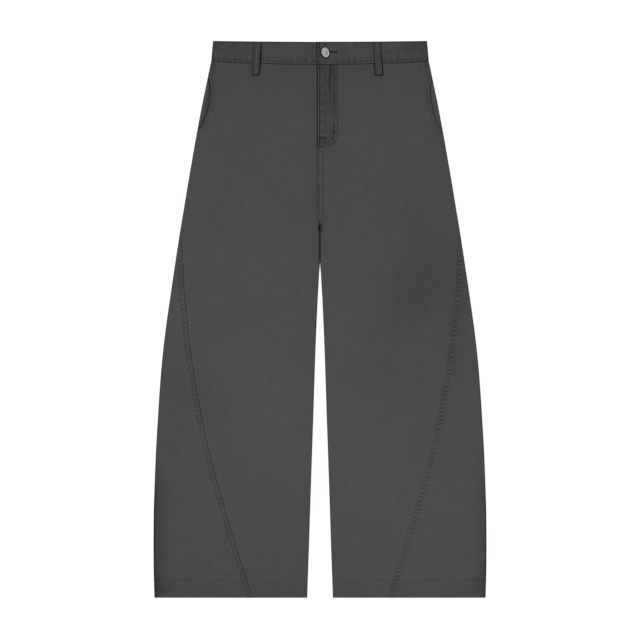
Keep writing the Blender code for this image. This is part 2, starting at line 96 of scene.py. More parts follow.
# Centre front: the left panel laps over the right one, down to the crotch
SLIT_HALF = 1.2
LAP = 7.0
LAP_START, LAP_FULL = 176.0, 194.0
SPLIT_START, SPLIT_FULL = 158.0, 172.0
LAP_RISE = 0.8
LAP_DROP = CLOTH + GAP - LAP_RISE
DROP_FAR, DROP_NEAR = 22.0, 8.0
SEAM_BAND, SEAM_SLOPE = 9.0, 3.0

# Fly: a straight outer row that turns in a quarter ellipse to the centre seam
FLY_CENTRE_X, FLY_CENTRE_Y = 9.6, 325.0
FLY_ACROSS, FLY_DOWN = 21.0, 23.2
FLY_END = FLY_CENTRE_Y - FLY_DOWN
FLY_SLOPE = 3.5

# Both of its rows: reach across and down, darkness, and how much darker they get low down
FLY_ROWS = ((FLY_ACROSS, FLY_DOWN, 0.45, 0.2), (15.4, 15.9, 0.3, 0.38))

# Waistband at the centre front: the left end laps over the right one
BAND_EDGE, BAND_UNDERLAP = -5.3, 30.0
BAND_RISE, BAND_RISE_FULL, BAND_RISE_END = 0.8, 34.0, 50.0
BAND_DROP = BAND_WALL + GAP - BAND_RISE
BAND_DROP_START, BAND_DROP_FULL = -34.0, -8.0

# Barrel seam: a ditch, with the raised allowance beside it on the outer panel
DITCH_WIDTH = 1.6
ROPE_PLACE, ROPE_WIDTH = 3.9, 1.6
ALLOWANCE, ALLOWANCE_RISE, ALLOWANCE_SLOPE = 9.0, 0.8, 3.0
SIDE_TIP = 143.0

# Pocket facing: level with the front in the opening, tucked under it for most of its length
FACING_UNDER, FACING_SLOPE, FACING_LIP = 12.0, 4.0, 0.5
FACING_DROP = CLOTH + GAP + 0.4
FACING_SINKS, FACING_RISES = (341.0, 350.0), (402.0, 411.0)
FACING_TUCKS, FACING_LEAVES = (350.0, 356.0), (396.0, 402.0)
FACING_LOW, FACING_HIGH = 334.0, 420.0

# Belt loops, with the bar tacks near their ends and how far their corners are rounded
LOOP_WIDTH, LOOP_BOTTOM, LOOP_ARCH, LOOP_SEWN = 12.2, 426.6, 1.3, 7.0
LOOP_LOW_TACK, LOOP_HIGH_TACK, LOOP_CORNER = 5.2, 3.0, 2.4
LOOP_LEVEL = BAND_LEVEL + GAP + LOOP_WALL

# Jeans button, leaning on its upright shank, and the buttonhole
BUTTON_X, BUTTON_Y, BUTTON_LEVEL = 9.5, 467.4, 12.8
BUTTON_RADIUS, BUTTON_THICK, BUTTON_RIM, BUTTON_DISH = 9.0, 2.4, 1.4, 0.5
BUTTON_DOME, CAP_ASIDE, CAP_DOWN = 0.7, 0.7, 1.7
BUTTON_TILT, BUTTON_TURN = math.radians(42.5), math.radians(10.0)
BUTTON_SEEN_X, BUTTON_SEEN_Y = 9.2, 467.0
SHANK_RADIUS = 1.7
HOLE_RADIUS, HOLE_SLIT, HOLE_END, HOLE_END_RADIUS = 2.2, 0.9, 28.7, 1.25

# Rows of topstitching, as distances from the seam or edge that they follow
BARREL_ROWS = (3.9, 7.3)
POCKET_ROWS = (4.4, 7.0)
CENTRE_ROWS = (4.1, 9.3)
FLY_EDGE_ROW = 4.1
HEM_ROW = 32.3
BAND_LOW_ROW, BAND_TOP_ROW, BAND_END_ROW = 4.2, 2.3, 3.4
LOOP_ROW = 2.7

# One stitch of the topstitching, and the dark disc of painted shade at its needle hole
STITCH_PITCH, STITCH_LENGTH, STITCH_RADIUS = 3.1, 2.5, 0.24
STITCH_SINK, HOLE_SIZE, STITCH_SIDES = 0.3, 0.42, 6

# Its thread as rings: their place along it, their size, and how far they lie off the cloth
STITCH_RINGS = ((0.0, 0.4, -STITCH_SINK), (0.2, 1.0, 0.0), (0.8, 1.0, 0.0),
                (1.0, 0.4, -STITCH_SINK))

# Curves along the garment, as pairs of a height along it and a distance out
OUTER_EDGE = (
    (452.0, 190.0), (427.4, 195.2), (401.2, 200.6), (374.9, 206.0), (322.4, 215.8),
    (243.7, 229.5), (191.2, 238.2), (138.7, 246.8), (86.2, 254.8), (33.7, 262.5), (-18.8, 269.9),
    (-71.3, 275.9), (-123.8, 280.2), (-176.3, 283.6), (-228.8, 286.7), (-281.3, 288.8),
    (-333.8, 290.5), (-386.3, 291.0), (-438.8, 290.7), (HEM, 289.4),
)

INNER_EDGE = (
    (CROTCH_FRONT, SLIT_HALF), (CROTCH_BACK, SLIT_HALF), (86.2, 1.4), (59.9, 2.6), (33.7, 4.1),
    (-18.8, 6.5), (-71.3, 8.5), (-176.3, 11.9), (-281.3, 15.5), (-386.3, 18.9), (HEM, 22.4),
)

BARREL_SEAM = (
    (147.0, 245.4), (135.0, 243.1), (103.7, 241.2), (51.2, 238.2), (-1.3, 232.9), (-53.8, 227.5),
    (-106.3, 219.3), (-158.8, 210.0), (-211.3, 199.3), (-263.8, 185.9), (-316.3, 171.7),
    (-368.8, 156.1), (-421.3, 140.0), (HEM, 118.1),
)

CENTRE_SEAM = (
    (CROTCH_FRONT, 0.0), (168.0, -2.2), (182.0, -4.2), (200.0, -4.7), (300.0, -4.8),
    (330.0, -5.1), (446.0, -5.1),
)

# Here the distance is how far the pocket opening lies in from the side edge
POCKET_DEPTH = (
    (424.0, 0.0), (415.0, 3.9), (407.0, 7.2), (396.0, 9.2), (380.0, 10.6), (367.0, 10.9),
    (353.0, 9.3), (340.0, 5.3), (331.0, 0.0),
)
POCKET_RUN_OFF = 0.54

# The crease over the hidden zip
ZIP_CREASE = (
    (443.0, 18.9), (434.5, 19.0), (425.7, 17.4), (415.0, 16.7), (401.0, 17.1), (387.0, 19.6),
)

# Loops: how far each one's shadow spreads, how dark it is at half height, and how dark the
# loop's own half away from the light is
Loop = namedtuple("Loop", "name x_top x_bottom shadow dark half")

LOOPS = (
    Loop("belt_loop_right", -108.9, -112.7, 1.2, 0.93, 0.0),
    Loop("belt_loop_left", 99.3, 103.6, 0.0, 0.55, 0.12),
)

# Soft creases of the laid cloth: a straight line from one point to another, how wide it is, how
# far it rises, or sinks where negative, and how much painted shade darkens it, or painted light
# makes it paler where negative
Fold = namedtuple("Fold", "x0 y0 x1 y1 width rise shade")

FOLDS = [Fold(*numbers) for numbers in (
    (96, -28, 228, 112, 46, -0.9, 0.045), (150, -60, 240, 20, 30, 0.5, -0.01),
    (262, 130, 250, -60, 18, -0.3, 0.03), (60, -250, 190, -330, 60, 0.5, -0.02),
    (-285, -95, -170, -175, 26, -0.5, 0.03), (-100, -100, -40, -260, 60, 0.4, -0.025),
    (-20, 160, -90, 240, 22, -0.35, 0.015), (24, 160, 96, 236, 22, -0.35, 0.015),
    (-283, -260, -276, -470, 13, -0.3, 0.085), (283, -230, 279, -470, 11, -0.3, 0.07),
    (-268, -476, -288, -470, 7, -0.3, 0.16), (-215, -470, -190, -472, 9, -0.25, 0.07),
    (255, -468, 284, -474, 9, -0.25, 0.06), (130, -474, 160, -466, 10, -0.25, 0.04),
)]

# How pale the cloth is along the garment, near 1 at the middle, as pairs of height and share
FADING = (
    (446.0, 0.86), (390.0, 0.92), (310.0, 0.965), (180.0, 0.985), (20.0, 1.015), (-150.0, 1.035),
    (-320.0, 1.01), (-430.0, 0.98), (HEM, 0.94),
)

# The tone of the inside of the garment: painted shade, deep in its openings
INNER_SHADED_TONE = 0.4

# Broad soft patches where the cloth is darker or paler
Patch = namedtuple("Patch", "x y across down shade")

PATCHES = [Patch(*numbers) for numbers in (
    (168, 78, 62, 105, 0.115), (185, 20, 50, 60, 0.05), (60, -240, 60, 150, -0.03),
    (130, -300, 60, 90, -0.03), (-85, -130, 60, 160, -0.03), (-250, -120, 45, 80, 0.05),
    (-200, 330, 60, 90, 0.02), (0, 250, 22, 140, 0.035), (170, 200, 60, 90, 0.04),
    (240, 20, 26, 110, 0.07), (120, -70, 70, 70, 0.045), (-270, -280, 45, 180, 0.05),
    (-180, -440, 110, 60, 0.04), (150, -455, 120, 40, -0.065), (-140, 70, 70, 45, -0.04),
    (155, -125, 70, 32, 0.04), (212, 295, 40, 55, 0.045), (135, 115, 30, 45, -0.035),
    (232, -70, 20, 30, 0.05), (-100, -270, 60, 60, 0.02), (210, -225, 60, 60, 0.03),
    (60, -10, 40, 90, -0.03), (-30, 215, 25, 50, 0.04), (130, 250, 60, 50, 0.02),
)]

# Each barrel seam: its ditch's depth, the darkness of the painted shade it draws on the front, its
# second row's, and the painted light behind its rows, painted shade where negative
Lip = namedtuple("Lip", "depth line row gleam")
SEAM_LIP = {-1: Lip(0.15, 0.3, 0.36, -0.03), 1: Lip(0.08, 0.04, 0.3, 0.07)}

# The marks of its first row: rise, darkness of the painted shade in their dips, spacing, and how
# much they crowd towards the hem
Rope = namedtuple("Rope", "rise shade pitch crowding")
SEAM_ROPE = {-1: Rope(0.14, 0.36, 7.9, 0.00048), 1: Rope(0.24, 0.55, 7.6, 0.00014)}

# A pocket opening's dark line, painted shade in its gap: its place and darkness on the front, and
# its darkness below, a painted shadow on the facing that is painted light where negative
Opening = namedtuple("Opening", "place line below")
POCKET_LINE = {-1: Opening(0.6, 1.1, -0.1), 1: Opening(-0.4, 0.9, 0.6)}

# Marks along a line of a piece: the line, their distance from it, how wide they are, how far
# they rise, or sink where negative, how much they darken, and the share of cloth they are on
Mark = namedtuple("Mark", "line place width rise shade share", defaults=(None,))

# Painted light just above the hem's stitches, and painted shade along its folded edge with painted
# light on the roll above it
HEM_MARKS = (
    Mark("hem", HEM_ROW + 2.2, 0.9, 0.0, -0.05), Mark("hem", 0.0, 1.2, 0.0, 0.2),
    Mark("hem", 3.6, 1.6, 0.0, -0.05),
)

# The swollen edge of the fly, painted pale, and its row, with painted shade in it; puckers painted
# lighter on their crests and darker in their dips; paler strips and a shaded groove on the fly,
# and painted shade at its rows' feet; the crease over the zip with painted shade in it and painted
# light on the ridge beside it; and the wrinkle at the foot of the zip, with painted shade in it
# and painted light on its ridge
FLY_MARKS = (
    Mark("edge", 2.3, 0.8, 0.0, -0.24, "lapped"), Mark("edge", FLY_EDGE_ROW, 1.3, 0.0, 0.3, "fly"),
    Mark("edge", 6.4, 1.2, 0.0, -0.06, "below"), Mark("edge", 8.0, 4.2, 0.4, -0.15, "lit puckers"),
    Mark("x", 28.0, 2.2, 0.3, -0.14, "lit row puckers"), Mark("x", 13.0, 3.6, 0.0, -0.06, "padded"),
    Mark("x", 5.0, 4.0, 0.0, -0.09, "shoulder"), Mark("x", 24.4, 1.3, -0.2, 0.6, "turn"),
    Mark("x", 20.0, 4.0, 0.0, 0.14, "foot"), Mark("row", -2.8, 2.0, 0.0, 0.14, "low rows"),
    Mark("row", 3.5, 2.0, 0.0, -0.03, "fly"),
    Mark("crease", 0.0, 1.5, -0.5, 0.0, "zip"), Mark("crease", 0.0, 1.15, 0.0, 0.75, "zip"),
    Mark("crease", 0.0, 5.0, 0.0, 0.04, "zip"), Mark("crease", 4.0, 2.4, 0.3, 0.0, "zip"),
    Mark("crease", 3.6, 1.6, 0.0, -0.04, "zip"),
    Mark("x", 10.2, 1.6, -0.2, 0.0, "inside"), Mark("x", 10.2, 1.3, 0.0, 0.1, "inside"),
    Mark("wrinkle", 0.0, 2.6, -0.55, 0.6, "pulled"),
    Mark("wrinkle", 5.8, 1.8, 0.4, -0.22, "raised"),
)

# Painted light beside the right barrel seam, and painted shade at the crotch and down the slit
# between the legs
FRONT_MARKS = (
    Mark("seam", 3.4, 1.4, 0.0, -0.06, "right seam"), Mark("x", 0.0, 2.4, -0.3, 0.0, "crotch"),
    Mark("x", 2.6, 2.8, 0.0, 0.4, "crotch"), Mark("slit", 0.0, 0.7, 0.0, 0.9, "slit"),
)

# Painted light behind the barrel seam's rows, painted shade where negative; waves painted lighter
# on their crests and darker in their dips, and painted shade low on the side edge; and the hem's
# end, a groove with painted shade in it
SIDE_MARKS = (
    Mark("seam", 10.2, 1.6, 0.0, 1.0, "gleam"), Mark("rim", 3.0, 6.0, 0.45, -0.12, "waves"),
    Mark("rim", 0.0, 16.0, 0.0, 0.16, "corner"),
    Mark("hem", HEM_ROW, 2.2, -0.3, 0.0, "tack"), Mark("hem", HEM_ROW, 2.2, 0.0, 0.3, "dark tack"),
)

# Painted shade along the waistband's seam, and along the ridge of the allowance inside it
BAND_MARKS = (
    Mark("above", 0.0, 0.9, 0.0, 0.4), Mark("ridge", 0.0, 1.0, 0.0, 0.18, "outer"),
)

# At the waistband's lapped end: painted shade in its row, in the buttonhole and round its eye, and
# the button's painted shade round it and over the band above it
END_MARKS = (
    Mark("end", BAND_END_ROW + 0.9, 0.9, 0.0, 0.75, "high"),
    Mark("hole", 0.0, 5.0, -0.15, 0.03, "slit"), Mark("eye", 0.0, 1.5, 0.0, 0.75),
    Mark("button", 1.2, 1.2, 0.0, 1.0, "ring"), Mark("x", 8.4, 1.8, 0.0, 0.25, "over"),
)

# A belt loop's sides, with painted shade; its raised middle, painted paler where it catches the
# light; its bar tacks, with painted shade in them; and its foot, with painted shade along it and
# painted light just above it
LOOP_MARKS = (
    Mark("side", 0.0, 0.8, 0.0, 0.8),
    Mark("middle", 0.0, 1.8, 0.12, 0.0), Mark("middle", 0.0, 1.4, 0.0, -0.14),
    Mark("low", LOOP_LOW_TACK, 1.0, -0.4, 0.0), Mark("low", LOOP_LOW_TACK, 0.9, 0.0, 0.55),
    Mark("high", LOOP_HIGH_TACK, 1.0, -0.4, 0.0), Mark("high", LOOP_HIGH_TACK, 0.9, 0.0, 0.55),
    Mark("foot", 0.5, 0.9, 0.0, 0.8), Mark("foot", 2.6, 0.8, 0.0, -0.12),
)


class Curve:
    """A smooth curve x(y) through the rows of a table, held at its ends beyond them."""

    def __init__(self, rows):
        self.ys, self.xs = np.array(sorted(rows)).T
        index = np.arange(len(self.ys))
        low, high = np.maximum(index - 1, 0), np.minimum(index + 1, len(index) - 1)
        self.slopes = (self.xs[high] - self.xs[low]) / (self.ys[high] - self.ys[low])

    def __call__(self, y):
        y = np.clip(y, self.ys[0], self.ys[-1])
        found = np.searchsorted(self.ys, y, side="right") - 1
        index = np.clip(found, 0, len(self.ys) - 2)
        span = self.ys[index + 1] - self.ys[index]
        t = (y - self.ys[index]) / span
        return (
            (2 * t**3 - 3 * t**2 + 1) * self.xs[index]
            + (t**3 - 2 * t**2 + t) * span * self.slopes[index]
            + (3 * t**2 - 2 * t**3) * self.xs[index + 1]
            + (t**3 - t**2) * span * self.slopes[index + 1]
        )


outer_edge = Curve([(y, x + EDGE_FUZZ) for y, x in OUTER_EDGE])
inner_edge = Curve(INNER_EDGE)
barrel_seam = Curve(BARREL_SEAM)
centre_seam = Curve(CENTRE_SEAM)
pocket_depth = Curve(POCKET_DEPTH)
zip_crease = Curve(ZIP_CREASE)
fading = Curve(FADING)


def ramp(value, start, end):
    """0 at start and 1 at end, with a smooth rise between them."""
    t = np.clip((value - start) / (end - start), 0.0, 1.0)
    return t * t * (3.0 - 2.0 * t)


def mix(a, b, share):
    return a + (b - a) * share


def bell(distance, width):
    """1 at no distance, falling off smoothly over a width."""
    return np.exp(-((distance / width) ** 2))


def spaced(start, *spans):
    """Numbers from start on, through each span's end in that span's count of even steps."""
    values = [start]
    for end, count in spans:
        values.extend(np.linspace(values[-1], end, count + 1)[1:])
    return np.array(values)


def ripple(along, pitch, seed):
    """An uneven smooth wave from -1 to 1, with about one swell a pitch."""
    knots = np.random.default_rng(seed).uniform(-1.0, 1.0, 512)
    place = along / pitch
    index = np.floor(place).astype(int)
    share = place - index
    share = share * share * (3.0 - 2.0 * share)
    return mix(knots[index % 512], knots[(index + 1) % 512], share)


def swells(along, pitch, seed):
    """A nearly even wave from -1 to 1 whose pitch and height wander."""
    turns = along / pitch + 0.45 * ripple(along, 2.3 * pitch, seed)
    return np.sin(2 * math.pi * turns) * (0.75 + 0.35 * ripple(along, 3.1 * pitch, seed + 1))


def patchy(x, y, pitch, seed):
    """An uneven smooth field from -1 to 1, with swells about a pitch across."""
    knots = np.random.default_rng(seed).uniform(-1.0, 1.0, (64, 64))
    u, v = (0.8 * x + 0.6 * y) / pitch, (0.8 * y - 0.6 * x) / pitch
    i, j = np.floor(u).astype(int), np.floor(v).astype(int)
    s, t = u - i, v - j
    s, t = s * s * (3.0 - 2.0 * s), t * t * (3.0 - 2.0 * t)
    near = mix(knots[i % 64, j % 64], knots[(i + 1) % 64, j % 64], s)
    far = mix(knots[i % 64, (j + 1) % 64], knots[(i + 1) % 64, (j + 1) % 64], s)
    return mix(near, far, t)


def edge_profile(run, rounding=1.0):
    """How far in and how far down a point lies that is run round the edge from its rim.

    With a rounding of 0 the edge is cut square and the run is straight across the flat.
    """
    angle = np.clip((run - RIM_HEIGHT) / EDGE_RADIUS, 0.0, math.pi / 2)
    inward = EDGE_RADIUS * (1 - np.cos(angle)) + np.maximum(run - EDGE_ARC, 0.0)
    down = EDGE_RADIUS * (1 - np.sin(angle)) + np.maximum(RIM_HEIGHT - run, 0.0)
    return mix(run, inward, rounding), rounding * down


def run_to(depth):
    """The run round the edge that ends a given depth in from it, seen from above."""
    turned = np.arccos(1 - np.clip(depth, 0.0, EDGE_RADIUS) / EDGE_RADIUS)
    rounded = RIM_HEIGHT + EDGE_RADIUS * turned
    return np.where(depth <= 0, 0.0, rounded + np.maximum(depth - EDGE_RADIUS, 0.0))


def flatness(down):
    """Share of a panel's lift that a point on its rounded edge takes."""
    return np.maximum(1 - down / RIM_LEVEL, 0.0)


def folded(distance, radius):
    """How far the cloth's outer face drops at a folded edge that is a distance away."""
    short = np.clip(radius - distance, 0.0, radius)
    return radius - np.sqrt(radius**2 - short**2)


def waist_seam(x):
    return WAIST_SEAM + WAIST_SEAM_SAG * (x / WAIST_SEAM_REACH) ** 2


def waist_top(x):
    return WAIST_TOP + WAIST_TOP_SAG * (x / WAIST_HALF) ** 2


def bent_to_waist(x, y):
    """A row near the waist follows the arc of the waist seam, and the last one ends under it."""
    share = ramp(y, WAIST_SEAM - WAIST_FADE, WAIST_SEAM)
    end = GAP / 2 * ramp(y, WAIST_SEAM - 1.0, WAIST_SEAM)
    return y + share * (waist_seam(x) - WAIST_SEAM) - end


def pocket_run(y):
    """Run from the side rim to the pocket opening, 0 above and below it."""
    inside = (y > POCKET_DEPTH[-1][0]) & (y < POCKET_DEPTH[0][0])
    return np.where(inside, run_to(pocket_depth(y)), 0.0)


def pocket_line(y):
    """Depth of the pocket's topstitching line, which runs off the side edge below it."""
    return pocket_depth(y) - POCKET_RUN_OFF * np.maximum(POCKET_DEPTH[-1][0] - y, 0.0)


def seam_run(y):
    """Run from the side rim to the barrel seam, 0 above its top."""
    below = y < BARREL_SEAM[0][0]
    return np.where(below, run_to(outer_edge(y) - barrel_seam(y)), 0.0)


def crown(x, y):
    """Rise of the front away from the edges of a leg."""
    from_inner = np.abs(x) - inner_edge(y) + 2 * np.maximum(y - CROTCH_FRONT, 0.0)
    nearest = np.minimum(outer_edge(y) - np.abs(x), from_inner)
    share = 1 - np.maximum(1 - np.maximum(nearest, 0.0) / CROWN_RUN, 0.0) ** 2
    return CROWN_RISE * share * (1 - ramp(y, CROWN_FULL, CROWN_END))


def hem_share(y):
    """1 on the turned-up hem and 0 above it."""
    return 1 - ramp(y, HEM + HEM_DEPTH - 1, HEM + HEM_DEPTH + 1)


def beyond_fly(x, y, across=FLY_ACROSS, down=FLY_DOWN):
    """How far outside a J-shaped row of the fly a point lies, negative inside it."""
    right = np.maximum(x - FLY_CENTRE_X, 0.0) / across
    below = np.maximum(FLY_CENTRE_Y - y, 0.0) / down
    return (np.hypot(right, below) - 1) * across


def fly_share(x, y):
    """1 on the stitched fly and on the band beside the centre seam, 0 away from them."""
    band_edge = centre_seam(y) + SEAM_BAND
    on_band = 1 - ramp(x, band_edge, band_edge + SEAM_SLOPE)
    on_fly = 1 - ramp(beyond_fly(x, y), 0.0, FLY_SLOPE)
    return np.where(y < FLY_END - FLY_SLOPE, on_band, np.maximum(on_band, on_fly))


def front_edge(side, y):
    """Inner edge of a front, as a distance from the middle plane towards its own side."""
    half = mix(SLIT_HALF, GAP / 2, ramp(y, CROTCH_FRONT, 163.4))
    if side > 0:
        above = centre_seam(y) + half
    else:
        above = -centre_seam(y) + half - LAP * ramp(y, LAP_START, LAP_FULL)
    return np.where(y <= CROTCH_FRONT, inner_edge(y), above)


def front_lift(side, x, y):
    """Height of a front panel above its flat level, away from its rounded edges.

    The fronts part in height above the crotch, so that the left one can lap over the right.
    """
    lift = crown(x, y) + HEM_RISE * hem_share(y)
    parted = ramp(y, SPLIT_START, SPLIT_FULL)
    if side > 0:
        return lift + LAP_RISE * parted * fly_share(x, y)
    seam = centre_seam(y)
    return lift - LAP_DROP * parted * ramp(x, seam - DROP_FAR, seam - DROP_NEAR)


class Detail:
    """Fine form on a surface: how far it rises at each point, and how dark the cloth is there.

    Every feature adds to the rise, in millimetres, and multiplies the tone, 1 on plain cloth.
    It starts with the slight waves of cloth that lies loose, and the uneven tone of its dye.
    """

    def __init__(self, x, y, seed, height=0.16):
        self.x, self.y = x, y
        self.rise = np.zeros_like(x + y)
        self.tone = np.ones_like(x + y)
        broad, fine = patchy(x, y, 52.0, seed), patchy(y, x, 17.0, seed + 1)
        self.add(height * (broad + 0.35 * fine), 0.012 * broad + 0.01 * fine)
        self.add(0.0, 0.026 * patchy(x, y, 8.0, seed + 2))
        self.add(0.0, 0.034 * patchy(y, x, 4.2, seed + 3))

    def add(self, rise=0.0, shade=0.0):
        self.rise = self.rise + rise
        self.tone = self.tone * (1 - shade)

    def fade(self):
        """The cloth's tone changes broadly: paler down the legs, darker at the waist and hem, and
        in soft patches.
        """
        self.tone = self.tone * fading(self.y)
        for patch in PATCHES:
            reach = np.hypot((self.x - patch.x) / patch.across, (self.y - patch.y) / patch.down)
            self.add(0.0, patch.shade * bell(reach, 1.0))

    def crease(self):
        """The soft folds that are listed."""
        for fold in FOLDS:
            dx, dy = fold.x1 - fold.x0, fold.y1 - fold.y0
            length = math.hypot(dx, dy)
            along = ((self.x - fold.x0) * dx + (self.y - fold.y0) * dy) / length
            across = ((self.x - fold.x0) * dy - (self.y - fold.y0) * dx) / length
            past = np.maximum(np.maximum(-along, along - length), 0.0)
            share = bell(across, fold.width) * bell(past, fold.width)
            # Painted shade in the hollows of the creases and painted light on some of the ridges
            self.add(fold.rise * share, fold.shade * share)

    def marks(self, table, lines, shares=None):
        """Marks beside the lines, each on its share of the cloth, or all along its line."""
        for mark in table:
            share = shares[mark.share] if mark.share else 1.0
            near = share * bell(lines[mark.line] - mark.place, mark.width)
            self.add(mark.rise * near, mark.shade * near)

    def rim(self, depth, shade=0.3, share=1.0):
        """A laid garment's outline is darker, where its edge turns away from the light."""
        self.add(0.0, share * shade * (1 - ramp(depth, 1.0, 2.6)))

    def line(self, distance, shade, width, share=1.0):
        """A thin dark line of painted shade along a groove, gap or row, with a little painted
        light on the cloth just beside it.
        """
        beside = bell(np.abs(distance) - 2.6 * width, width)
        self.add(0.0, share * shade * (bell(distance, width) - 0.14 * beside))

    def ditch(self, distance, depth=0.5, shade=0.35, share=1.0, width=DITCH_WIDTH):
        """The cloth rolls down into a seam, with painted shade along it."""
        near = np.maximum(1 - np.maximum(distance, 0.0) / width, 0.0)
        self.add(-depth * share * near * near)
        self.line(distance, shade, 0.55 * width, share)

    def sewn(self, distance, along, seed, depth, pucker, shade, share=1.0, pitch=6.5):
        """A row of topstitching pulls the cloth into a groove, darkened with painted shade, with
        small puckers beside it that are painted lighter where they rise and darker where they
        sink.
        """
        slanted = along + 0.9 * distance
        wave = ripple(slanted, pitch, seed) + 0.5 * ripple(slanted, 0.45 * pitch, seed + 1)
        wave = wave * share * bell(distance, 3.0)
        self.add(-depth * share * bell(distance, 0.75))
        self.line(distance, shade * (1 + 0.7 * ripple(along, 3.4, seed + 2)), 0.8, share)
        self.add(pucker * wave, -0.08 * wave)

    def roped(self, distance, along, rope, seed, share):
        """The marks, nearly even, that the first row of stitches leaves beside a seam: painted
        shade where they sink and painted light where they rise.
        """
        turns = along * (1 - rope.crowding * along) / rope.pitch + 0.12 * ripple(along, 19.0, seed)
        wave = np.sin(2 * math.pi * turns)
        strength = share * bell(distance - ROPE_PLACE, ROPE_WIDTH)
        strength = strength * (1 + 0.3 * ripple(along, 13.0, 3))
        self.add(-rope.rise * wave * strength, rope.shade * (wave + 0.25) * strength)


def waist_detail(detail):
    """The front is pulled in where it is sewn to the waistband, with painted shade in the seam and
    puckers painted lighter where they rise.
    """
    below = waist_seam(detail.x) - detail.y
    detail.ditch(below, 0.6, 0.4, width=2.0)
    wave = swells(detail.x, 11.0, 31) * bell(below - 5.0, 7.0)
    detail.add(0.2 * wave, -0.04 * wave)


def beside_loops(detail):
    """Belt loops shade the cloth close round them, most of all on their right in the picture."""
    for loop in LOOPS:
        share = np.clip((detail.y - LOOP_BOTTOM) / (WAIST_TOP - LOOP_BOTTOM), 0.0, 1.0)
        aside = detail.x - mix(loop.x_bottom, loop.x_top, share)
        outside = np.abs(aside) - LOOP_WIDTH / 2
        below = LOOP_BOTTOM - detail.y
        reach = np.hypot(np.maximum(outside, 0.0), np.maximum(below, 0.0))
        arched = np.sin(math.pi * np.clip(mix(-0.15, 1.05, share), 0.0, 1.0))
        right = ramp(aside, -2.0, 5.0)
        wide = mix(1.1, 1.3 + loop.shadow * arched, right)
        strength = mix(0.8, mix(0.97, loop.dark, arched), right)
        strength = strength * (1 - 0.6 * ramp(below, 0.0, 1.0))
        # Painted shadow close round the loop, with a faint paler ring of painted light just beyond
        # it
        detail.add(0.0, strength * bell(reach, wide) - 0.07 * bell(reach - 2.8, 1.2))
        beside = bell(aside + LOOP_WIDTH / 2 + 2.5, 3.0) * bell(below + 1.0, 4.0)
        detail.add(0.0, loop.half * beside)


def hem_detail(detail, seed):
    """The hem's row of stitches, the roping below it and the soft roll at its folded edge."""
    above = detail.y - HEM
    detail.sewn(above - HEM_ROW, detail.x, seed, 0.4, 0.12, 0.16, pitch=9.0)
    roped = ripple(detail.x + 0.9 * above, 15.0, seed + 5) * bell(above - 15.0, 11.0)
    # Roping painted lighter where it rises and darker where it sinks, and the turned-up hem a
    # little darker
    detail.add(0.2 * roped, 0.028 * hem_share(detail.y) - 0.015 * roped)
    detail.add(-folded(above, 0.9))
    detail.marks(HEM_MARKS, {"hem": above})


def pocket_detail(detail, out, opening):
    """The pocket opening's folded edge and its two rows of stitches."""
    y = detail.y
    inside = ramp(y, 327.0, 335.0) * (1 - ramp(y, 419.0, 426.0))
    line = outer_edge(y) - pocket_line(y) - out
    share = ramp(y, 312.0, 318.0)
    for number, row in enumerate(POCKET_ROWS):
        detail.sewn(line - row, y, 41 + number, 0.3, 0.14, 0.1, share, 5.0)
    # Roping between the rows, painted lighter where it rises and darker where it sinks, on a
    # darker band between the rows
    rope = ripple(y + 0.8 * line, 3.2, 43) * bell(line - 4.6, 2.2)
    detail.add(0.16 * share * rope, share * (0.12 * bell(line - 5.0, 2.6) - 0.06 * rope))
    # Painted shade in the opening's gap, under the front's folded edge
    dark = opening.line * inside * bell(line - opening.place, 0.9)
    detail.add(-folded(line, 0.5) * inside, dark)


def drawn_in(y):
    """The rows beside the centre seam close up towards the crotch."""
    return 1 - 0.55 * (1 - ramp(y, CROTCH_FRONT, CROTCH_FRONT + 32))


def fly_shares(x, y, fly, inside, top):
    """The shares of the cloth that the fly's marks are on."""
    return {
        "fly": fly, "inside": inside,
        "lit puckers": (swells(y, 14.0, 52) + 0.4 * swells(y + 3.0, 7.0, 52)) * inside,
        "lit row puckers": swells(y, 11.0, 53) * inside,
        "padded": inside * ramp(y, 335.0, 360.0),
        "shoulder": inside * ramp(y, 395.0, 415.0) * (1 - top),
        "turn": bell(y - 328.0, 9.0),
        "foot": bell(y - 322.0, 11.0),
        "low rows": (1 - ramp(y, 306.0, 316.0)) * fly,
        "zip": ramp(y, 386.0, 414.0),
        "pulled": ramp(x, -3.0, 1.0) * (1 - ramp(x, 9.0, 15.0)),
        "raised": ramp(x, -2.0, 2.0) * (1 - ramp(x, 8.0, 14.0)),
    }


